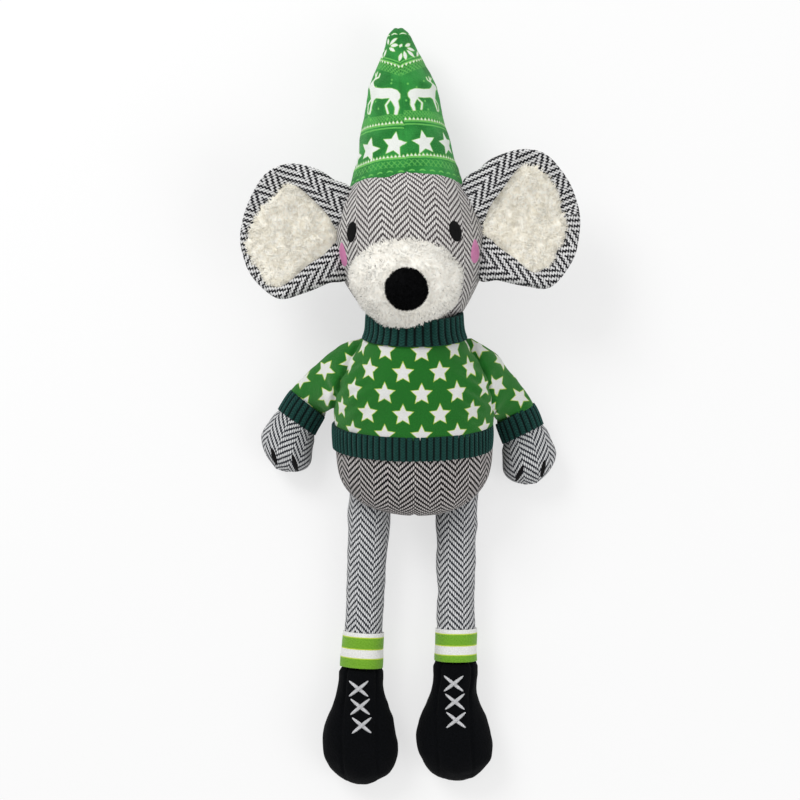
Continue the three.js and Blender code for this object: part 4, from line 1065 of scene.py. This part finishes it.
arcs = np.abs(np.hypot((round_way % 5.6) - 2.8, (level - 76.0) * 1.2) - 1.5) - 0.35
lime = np.minimum(lime, np.where((level > 73.6) & (level < 75.6), arcs, 9))
flakes = dice.uniform((-60, 25), (60, 48), (60, 2))
for u0, s0 in flakes:
    lime = np.minimum(lime, np.hypot(round_way - u0, below - s0) - 0.5)
sew = np.exp(-((round_way / 0.8) ** 2))
points += outward(points) * (ripple(points, 16, 0.9, 12) + ripple(points, 5, 0.3, 13) - 0.5 * sew[..., None])


def printed_hat():
    cloth = Finish("hat_fleece", roughness=0.95, sheen=0.25, sheen_tint=(0.6, 0.9, 0.6), specular=0.1)
    across, along = cloth.cloth()
    nap = cloth.speckle(1.9, 3.0, cloth.point(across, along))
    rough = (nap - 0.5) * 0.35
    pale = cloth.node("ShaderNodeAttribute", {"attribute_name": "white_edge"}, out=2) + rough
    bright = cloth.node("ShaderNodeAttribute", {"attribute_name": "lime_edge"}, out=2) + rough * 2
    drift = cloth.speckle(0.06, 3.0, cloth.point(across, along))
    weave = cloth.speckle(0.5, 3.0, cloth.point(across, along * 2.0))
    ground = cloth.mixed(nap.step(0.2, 0.8), linear(19, 92, 34), linear(42, 136, 57))
    ground = cloth.mixed(drift.step(0.4, 0.6) * 0.6, ground, linear(57, 155, 70))
    ground = cloth.mixed(weave.step(0.55, 0.8) * 0.3, ground, linear(73, 167, 78))
    colour = cloth.mixed(bright.step(-0.2, 0.3), linear(106, 190, 90), ground)
    colour = cloth.mixed(pale.step(0.0, 0.4), linear(140, 200, 100), colour)
    fleece = cloth.mixed(nap, linear(214, 218, 212), linear(242, 244, 240))
    colour = cloth.mixed(pale.step(-0.25, 0.1), fleece, colour)
    return cloth.finished(colour, nap, 0.5)


edges = {"white_edge": white, "lime_edge": lime}
hat_cover = sewn(
    "hat_cover", points, printed_hat(), "head", ["hat_skin", "hat_stuffing"], extras=edges,
)
print("hat", len(hat_cover.data.polygons), "faces")

# %% [markdown]
# # Ears
# An ear is a shallow cup: a back of tweed whose rim rolls forward, pinched at the root so that it folds over the
# lining above and below, and a lining of curly sherpa. Both outlines are loops round the middle of the ear. The back
# is one sheet that starts behind the middle, runs out round the rim and comes back over it to the lining's edge.

# %% Ear outlines
ear_outlines = {
    "left": [
        (-0.14, 0.58), (0.08, 0.81), (0.25, 0.94), (0.53, 1), (0.77, 0.84), (0.94, 0.44), (1.01, 0.02), (0.98, -0.3),
        (0.86, -0.64), (0.6, -0.92), (0.35, -0.84), (0.1, -0.68), (-0.14, -0.5),
    ],
    "right": [
        (-0.14, 0.6), (0.08, 0.86), (0.25, 0.98), (0.53, 1.03), (0.77, 0.9), (0.95, 0.52), (1.02, 0.07), (0.98, -0.3),
        (0.86, -0.66), (0.6, -0.97), (0.35, -0.9), (0.1, -0.76), (-0.14, -0.6),
    ],
}
lining_outlines = {
    "left": [
        (0.05, 0.2), (0.27, 0.54), (0.47, 0.72), (0.64, 0.58), (0.89, 0.1), (0.9, -0.3), (0.6, -0.77), (0.28, -0.46),
        (0.07, -0.2),
    ],
    "right": [
        (0.05, 0.2), (0.27, 0.56), (0.5, 0.8), (0.75, 0.6), (0.84, 0.1), (0.82, -0.26), (0.5, -0.77), (0.26, -0.5),
        (0.07, -0.2),
    ],
}
ear_wide, ear_tall, ear_cup = 51.3, 36.5, 9.0
ear_middle = np.array((0.48 * ear_wide, 0.0))
ear_above = {-1: 4.5, 1: 8}


def loop_reach(outline, angles):
    """How far a closed smooth loop lies from the ear's middle, at these angles."""
    corners = np.array(outline) * (ear_wide, ear_tall)
    ring = np.vstack([corners[-2:], corners, corners[:3]])
    curve = eased(ring, np.linspace(2, 2 + len(corners), 600)) - ear_middle
    turns = np.unwrap(np.arctan2(curve[:, 1], curve[:, 0]))
    reach = np.hypot(curve[:, 0], curve[:, 1])
    order = np.argsort(turns % (2 * np.pi))
    return np.interp(angles % (2 * np.pi), (turns % (2 * np.pi))[order], reach[order], period=2 * np.pi)


def ear_placed(points, sign):
    lift = np.radians(2 if sign < 0 else 9)
    x = points[..., 0] * np.cos(lift) - points[..., 1] * np.sin(lift) + 37.2
    y = points[..., 0] * np.sin(lift) + points[..., 1] * np.cos(lift)
    return head_core + np.array((0, ear_above[sign], 5.5)) + np.stack([x * sign, y, points[..., 2]], axis=-1)


def rising(value, low, high):
    return smooth((value - low) / (high - low))


angles = np.linspace(-np.pi, np.pi, 281)
degrees = np.degrees(angles)
lining_reach = {name: loop_reach(outline, angles) for name, outline in lining_outlines.items()}
upper_fold = rising(degrees, 84, 99) * (1 - rising(degrees, 158, 176))
lower_fold = rising(-degrees, 74, 90) * (1 - rising(-degrees, 158, 176))
fold_at = upper_fold + lower_fold
print("linings reach", [float(reach.max().round(1)) for reach in lining_reach.values()], "mm from the middle")

# %% Ear backs and sherpa linings
def ear_sheet(rows, count):
    """Rows of (reach, level) by angle, eased into a fine sheet in the ear's own plane."""
    rows = np.array(rows)
    stack = eased(rows.reshape(len(rows), -1), np.linspace(0, len(rows) - 1, count)).reshape(count, 2, -1)
    reach, level = stack[:, 0], stack[:, 1]
    x = ear_middle[0] + reach * np.cos(angles)
    y = ear_middle[1] + reach * np.sin(angles)
    return np.stack([x, y, level + ear_cup * (y / ear_tall) ** 2], axis=-1), reach


one = np.ones_like(angles)


def back_rows(outer_reach, inner_reach):
    """From behind the ear's middle out to the rim, back over it, and in under the lining."""
    rim = outer_reach - inner_reach
    return [
        (0.03 * one, -3.4 * one), (0.4 * outer_reach, -3.5 * one), (0.8 * outer_reach, -3.2 * one),
        (outer_reach - 0.6, -1.9 * one), (outer_reach, 0.2 * one), (outer_reach - 0.5, 2.6 + fold_at),
        (outer_reach - 0.3 * rim, 3.6 + 3.2 * fold_at), (outer_reach - 0.65 * rim, 3.5 + 4.6 * fold_at),
        (inner_reach - 0.3 * fold_at, 2.9 + 5.2 * fold_at),
        (inner_reach - 1.2 * fold_at - 0.2, 2.0 + 4.8 * fold_at), (inner_reach - 0.5 * fold_at, 1.2 + 4.0 * fold_at),
        (inner_reach + 1.6 * fold_at, 0.9 + 3.2 * fold_at), (inner_reach + fold_at, 0.2 + fold_at),
        (inner_reach - 0.6, -0.2 * one), (0.7 * inner_reach, -0.2 * one), (0.03 * one, -0.2 * one),
    ]


def flap_places(sheet, upper=np.radians(43), lower=np.radians(-37)):
    """The tweed lies flat in the ear's plane, and its columns follow the flap above or the flap below."""
    way = np.where(angles > 0, upper, lower)
    x, y = sheet[..., 0], sheet[..., 1]
    return np.stack([y * np.cos(way) - x * np.sin(way), x * np.cos(way) + y * np.sin(way)], axis=-1)


ear_parts = {}
top_rows = 44
for name, sign in (("left", -1), ("right", 1)):
    inner_reach = lining_reach[name]
    sheet, reach = ear_sheet(back_rows(loop_reach(ear_outlines[name], angles), inner_reach), 110)
    wrinkle = ripple(sheet, 11, 1.1, 20 + sign) + ripple(sheet, 5, 0.5, 22 + sign)
    crease = np.sin(angles * 9 + reach * 0.25) * fold_at * 0.4 * (reach > 0.5 * inner_reach)
    sheet[..., 2:] += wrinkle + crease[..., None]
    placed = ear_placed(sheet, sign)
    flats = flap_places(sheet)
    back = sewn(f"ear_back_{name}_cloth", placed, ear_tweed, "", [f"ear_back_{name}"], flats)
    root = head_core + np.array((sign * 38.0, ear_above[sign], 9))
    tuple((root - east * sign * 4) * mm)
    tuple((root + east * sign * 7) * mm)
    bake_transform(back)
    lining_rows = [
        (0.03 * one, 5.0 * one), (0.5 * inner_reach, 4.9 * one), (0.85 * inner_reach, 4.2 - 0.6 * fold_at),
        (inner_reach + 0.3, 2.4 * one), (inner_reach - 0.4, 0.6 * one), (0.5 * inner_reach, 0.3 * one),
        (0.03 * one, 0.3 * one),
    ]
    sheet, reach = ear_sheet(lining_rows, 80)
    top = (np.arange(80) < top_rows)[:, None, None]
    curls = ripple(sheet, 6.5, 2.6, 30 + sign) + ripple(sheet, 2.6, 1.2, 33 + sign)
    sheet[..., 2:] += curls * top * 0.45
    placed = ear_placed(sheet, sign)
    lining = sewn(f"ear_lining_{name}_cloth", placed, sherpa, f"ear_{name}", [f"ear_lining_{name}"])
    keep = (reach < inner_reach - 2.4 * fold_at) & top[..., 0]
    roots, ways = scattered(placed[:top_rows], 12000, keep[:top_rows].astype(float))
    ways = np.where(ways[:, 2:] < 0, -ways, ways)
    lean, roll = locks(roots, 4.5, 40 + sign), locks(roots, 4.5, 50 + sign)
    curl = tufts(
        f"ear_sherpa_{name}", roots - ways * 0.6, ways, (2.8, 0.8), lean, sherpa, f"ear_{name}", 0.8, 3, 0.35,
        roll, 0.22,
    )
    ear_parts[name] = (back, lining, curl)
print("ears", [len(p.data.polygons) for p in ear_parts["left"]], "faces each")

# %% [markdown]
# # Arms
# An arm is drawn by two rails, its outer and inner edge seen from the front. The sleeve is the upper half, the hand the
# lower half, and the rib cuff sits over the seam between them.

# %% Arms
arm_rails = [
    (0, (-0.5, 0.075), (0.5, -0.075), 1), (0.14, (-0.24, 0.29), (0.55, -0.06), 0.98),
    (0.3, (0.18, 0.42), (0.61, -0.04), 0.9), (0.48, (0.62, 0.52), (0.675, -0.03), 0.82),
    (0.64, (0.925, 0.53), (0.95, -0.05), 0.8), (0.76, (1.13, 0.54), (1.11, -0.11), 0.9),
    (0.88, (1.35, 0.525), (1.3, -0.19), 0.94), (0.96, (1.51, 0.37), (1.45, -0.14), 0.74),
    (1, (1.6, 0.14), (1.565, 0.0), 0.3),
]
rail_unit, arm_half_depth, shoulder_height, hand_height, cuff_end = 40, 12.5, 34.0, 11.2, 0.64


def arm_ways(sign, spread):
    along = np.array((sign * np.sin(spread), -np.cos(spread), 0))
    out = np.array((sign * np.cos(spread), np.sin(spread), 0))
    return along, out, zero + np.array((sign * 35, 74 if sign < 0 else 71.8, shoulder_height))


def arm_form(sign, spread, bare):
    """The arm with its sleeve, or bare, where the arm's own cloth lies a little deeper under the sleeve."""
    along, out, root = arm_ways(sign, spread)
    stations = []
    for share, outer, inner, depth in arm_rails:
        edge, other = (root + along * a * rail_unit + out * b * rail_unit for a, b in (outer, inner))
        covered = 1.9 if bare and share < 0.6 else 0
        centre = (edge + other) / 2 - north_up * smooth(share / cuff_end) * (shoulder_height - hand_height)
        across = (edge - other) / 2
        across *= 1 - covered / np.linalg.norm(across)
        stations.append((share, centre, across, north_up * (depth * arm_half_depth - covered)))
    return Form(stations)


claw_places = {"left": ((-74.8, 29.3, 48), (-63.7, 25.7, 48)), "right": ((56.4, 20.3, 46), (68.9, 22.8, 33))}
arm_pieces = []
sleeve_sides = 150
arm_sides = ("left", -1, np.radians(32.5), left_sleeve_fleece), ("right", 1, np.radians(23.5), right_sleeve_fleece)
for name, sign, spread, print_cloth in arm_sides:
    sleeve_form, bare_form = arm_form(sign, spread, False), arm_form(sign, spread, True)
    along, out, root = arm_ways(sign, spread)
    points, shares = sleeve_form.skin(0.0, 0.485, 70, sleeve_sides, 0.15, 0)
    ways = outward(points)
    inner_side = ((points - root) @ out)[..., None]
    down = ((points - root) @ along)[..., None]
    bend = np.exp(-(((down - 6) / 12) ** 2)) * np.exp(-(((inner_side + 2) / 9) ** 2))
    creases = np.sin(down * 0.8 + inner_side * 0.3) * bend * 1.1
    points += ways * (ripple(points, 15, 1.6, 40 + sign) + ripple(points, 6, 0.4, 44 + sign) + creases)
    points[..., 2] -= 2.6 * np.where(points[..., 2] > root[2], 1 - smooth((past_armhole(points) + 0.5) / 4.5), 0)
    armhole = points[0].mean(axis=0)
    inside = [
        armhole + (points[0] - armhole) * narrow - east * sign * back
        for narrow, back in ((0.9, 10), (0.95, 6), (0.99, 3))
    ]
    points = np.concatenate([np.array(inside), points])
    aside = (points - root) @ out
    reached = (points - root) @ along
    reached[:3] = reached[3] - np.array((10, 6, 3))[:, None]
    half_round = (aside.max(axis=1) - aside.min(axis=1))[:, None] / 2
    turn_out = (0.5 - np.linspace(0, 1, points.shape[1])) * 2 * np.pi
    places = np.stack([aside[:, sleeve_sides // 2, None] + half_round * turn_out, reached], axis=-1)
    sleeve = sewn(f"sleeve_{name}_cloth", points, print_cloth, "", [f"sleeve_{name}"], places)
    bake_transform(sleeve)
    cuff = ribbed(f"cuff_{name}_band", sleeve_form, 0.475, cuff_end, -1.2, 0.8, f"arm_{name}", f"cuff_{name}", 3.4)
    points, shares = bare_form.skin(0.4, 1.0, 90, 130, 0, 0.5)
    plump = 0.8 * smooth((shares - cuff_end) / 0.06) - 1.6 * (1 - smooth((shares - 0.6) / 0.05))
    points += outward(points) * (ripple(points, 12, 0.8, 50 + sign) + plump[:, None, None])
    covered = [f"arm_skin_{name}", f"arm_stuffing_{name}"]
    hand = sewn(f"hand_{name}", points, limb_tweed, f"arm_{name}", covered)
    tree = cloth_tree(hand)
    for k, (claw_x, claw_y, slant) in enumerate(claw_places[name]):
        _, line = turned(out, along, np.radians(slant))
        ways, spot = (np.cross(north_up, line), line, north_up), zero + np.array((claw_x, claw_y, 30))
        claw = f"claw_{name}_{k + 1}"
        laid(tree, spot, ways, oval(2.3, 9.6, 0, 24), f"{claw}_stitched", "black_thread", f"arm_{name}", claw, 0.6, 6)
    arm_pieces += [sleeve, cuff, hand]
print("arms", sum(len(p.data.polygons) for p in arm_pieces), "faces")

# %% [markdown]
# # Legs, socks and boots
# The legs are thin stuffed tubes. The sock is a band of striped fleece round the ankle, and the boot is a stuffed
# pouch of velour with a seam down either side of its tongue.

# %% Legs and socks
leg_shares = [(0, 1.12), (0.26, 1.08), (0.45, 1.0), (0.75, 0.97), (1, 1.01)]
leg_total, leg_radius, leg_apart = 106.3, 10.5, 22.75
sock_start = 86.8 / leg_total


def leg_frame(sign, lean, rise):
    lean = np.radians(lean)
    down = np.array((sign * np.sin(lean), -np.cos(lean), 0))
    across = np.array((np.cos(lean), sign * np.sin(lean), 0))
    hip = zero + np.array((sign * leg_apart, 22 + rise, 12.0))
    return down, across, hip, hip + down * leg_total


boot_shares = [
    (0, 0.585, 0.8, 0.86), (0.2, 0.61, 0.83, 0.88), (0.32, 0.72, 0.88, 0.92), (0.43, 0.87, 0.95, 0.95),
    (0.55, 0.97, 1, 0.96), (0.66, 1, 1, 0.96), (0.78, 0.95, 0.96, 0.94), (0.89, 0.76, 0.8, 0.86),
    (0.96, 0.5, 0.55, 0.72), (1, 0.2, 0.25, 0.62),
]
boot_length, boot_half_width, boot_half_depth = 63.4, 20.3, 14


def boot_form(ankle, aside):
    stations = []
    for share, width, depth, level in boot_shares:
        centre = ankle + np.array((aside * share * share, -share * boot_length, 0))
        centre[2] = level * boot_half_depth
        stations.append((share, centre, east * width * boot_half_width, north_up * depth * boot_half_depth))
    return Form(stations)


leg_pieces = []
for name, sign, lean, rise in (("left", -1, 2.9, 0), ("right", 1, -0.1, 2)):
    down, across, hip, ankle = leg_frame(sign, lean, rise)
    leg = Form([
        (s, hip + down * s * leg_total, across * w * leg_radius, north_up * w * leg_radius) for s, w in leg_shares
    ])
    points, shares = leg.skin(0, sock_start + 0.02, 110, 90, 0, 0)
    points += outward(points) * (ripple(points, 13, 0.9, 60 + sign) + ripple(points, 5, 0.25, 61))
    covered = [f"leg_skin_{name}", f"leg_stuffing_{name}"]
    tube = sewn(f"leg_{name}_tube", points, limb_tweed, "", covered)
    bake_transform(tube)
    points, shares = leg.skin(sock_start, 0.99 - 0.007 * sign, 40, 110, 0.9, 0)
    points += outward(points) * (ripple(points, 9, 0.6, 66 + sign))
    flats = flat_places(points)
    points = tucked(points, outward(points), 1.2)
    flats = np.concatenate([flats[:1]] * 4 + [flats] + [flats[-1:]] * 4)
    sock = sewn(f"sock_{name}_cloth", points, sock_fleece, f"leg_{name}", [f"sock_{name}"], flats)
    leg_pieces += [tube, sock]
print("legs", sum(len(p.data.polygons) for p in leg_pieces), "faces")

# %% Boots and crossed laces
boot_sides = (
    ("left", -1, 2.9, 0, 1.5, ((0.1, 0.3, 0.5, 0.85, 1), (0, -1.0, -1.9, -1.6, -0.6)), 0.6, 10.0),
    ("right", 1, -0.1, 2, -1, ((0.1, 0.25, 0.4, 0.6, 0.8, 1), (0, -1.6, -2.0, -1.2, 0.5, 0.8)), 2.2, 9.0),
)
for name, sign, lean, rise, aside, skew, higher, first_lace in boot_sides:
    down, across, hip, ankle = leg_frame(sign, lean, rise)
    form = boot_form(ankle, aside)
    points, shares = form.skin(0, 1, 120, 150, 0, 0.5)
    ways = outward(points)
    places = flat_places(points)
    seam = np.exp(-(((np.abs(places[..., 0]) - 9.5) / 0.9) ** 2)) * np.clip((1 - shares) / 0.2, 0, 1)[:, None]
    seam *= points[..., 2] > 8
    points += ways * (ripple(points, 17, 1.2, 70 + sign) + ripple(points, 6, 0.4, 73) - 0.9 * seam[..., None])
    points[..., 0] += np.interp(shares, *skew)[:, None]
    centred = 1 - ((points[..., 0] - points[..., 0].mean(axis=1, keepdims=True)) / 13) ** 2
    points[..., 1] += np.clip(1 - shares / 0.15, 0, 1)[:, None] * (higher - 1.5 * centred)
    points -= ways * np.clip(1 - shares / 0.04, 0, 1)[:, None, None] * 1.3
    covered = [f"boot_{part}_{name}" for part in ("upper", "stuffing", "sole")]
    boot = sewn(f"boot_{name}_velour", points, velour, "", covered, places)
    top = np.array((ankle[0], ankle[1], 12.0))
    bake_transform(boot)
    tree = cloth_tree(boot)
    for k in range(3):
        spot = form.section(np.array([(first_lace + k * 9.7) / boot_length]))[0][0] - east * (1.5 - 0.7 * k)
        lace = f"lace_{name}_{k + 1}"
        for turn, letter, height in ((1, "b", 0.8), (-1, "a", 1.3)):
            ways, outline = (*turned(east, north, turn * np.arctan2(10.4, 8.2)), north_up), oval(1.9, 13.2, 0, 28)
            laid(tree, spot, ways, outline, lace + letter, "white_thread", f"boot_{name}", lace, height, 6)
print("boots and laces sewn")

# %% [markdown]
# # Squeaker and closing seam
# The squeaker's four plastic parts keep their solid shapes inside the body, in milky plastic, and so does the ladder
# of hand stitches that closes the back.

# %% Finishes for the solids that stay
kept_solids = {f"squeaker_{part}": milky_plastic for part in ("rear_shell", "front_dome", "reed_holder", "reed")}
kept_solids["closing_stitch"] = threads["white_thread"]
for node, material in kept_solids.items():
    nodes[node].data.materials.clear()
    nodes[node].data.materials.append(material)
print("squeaker and closing seam finished")
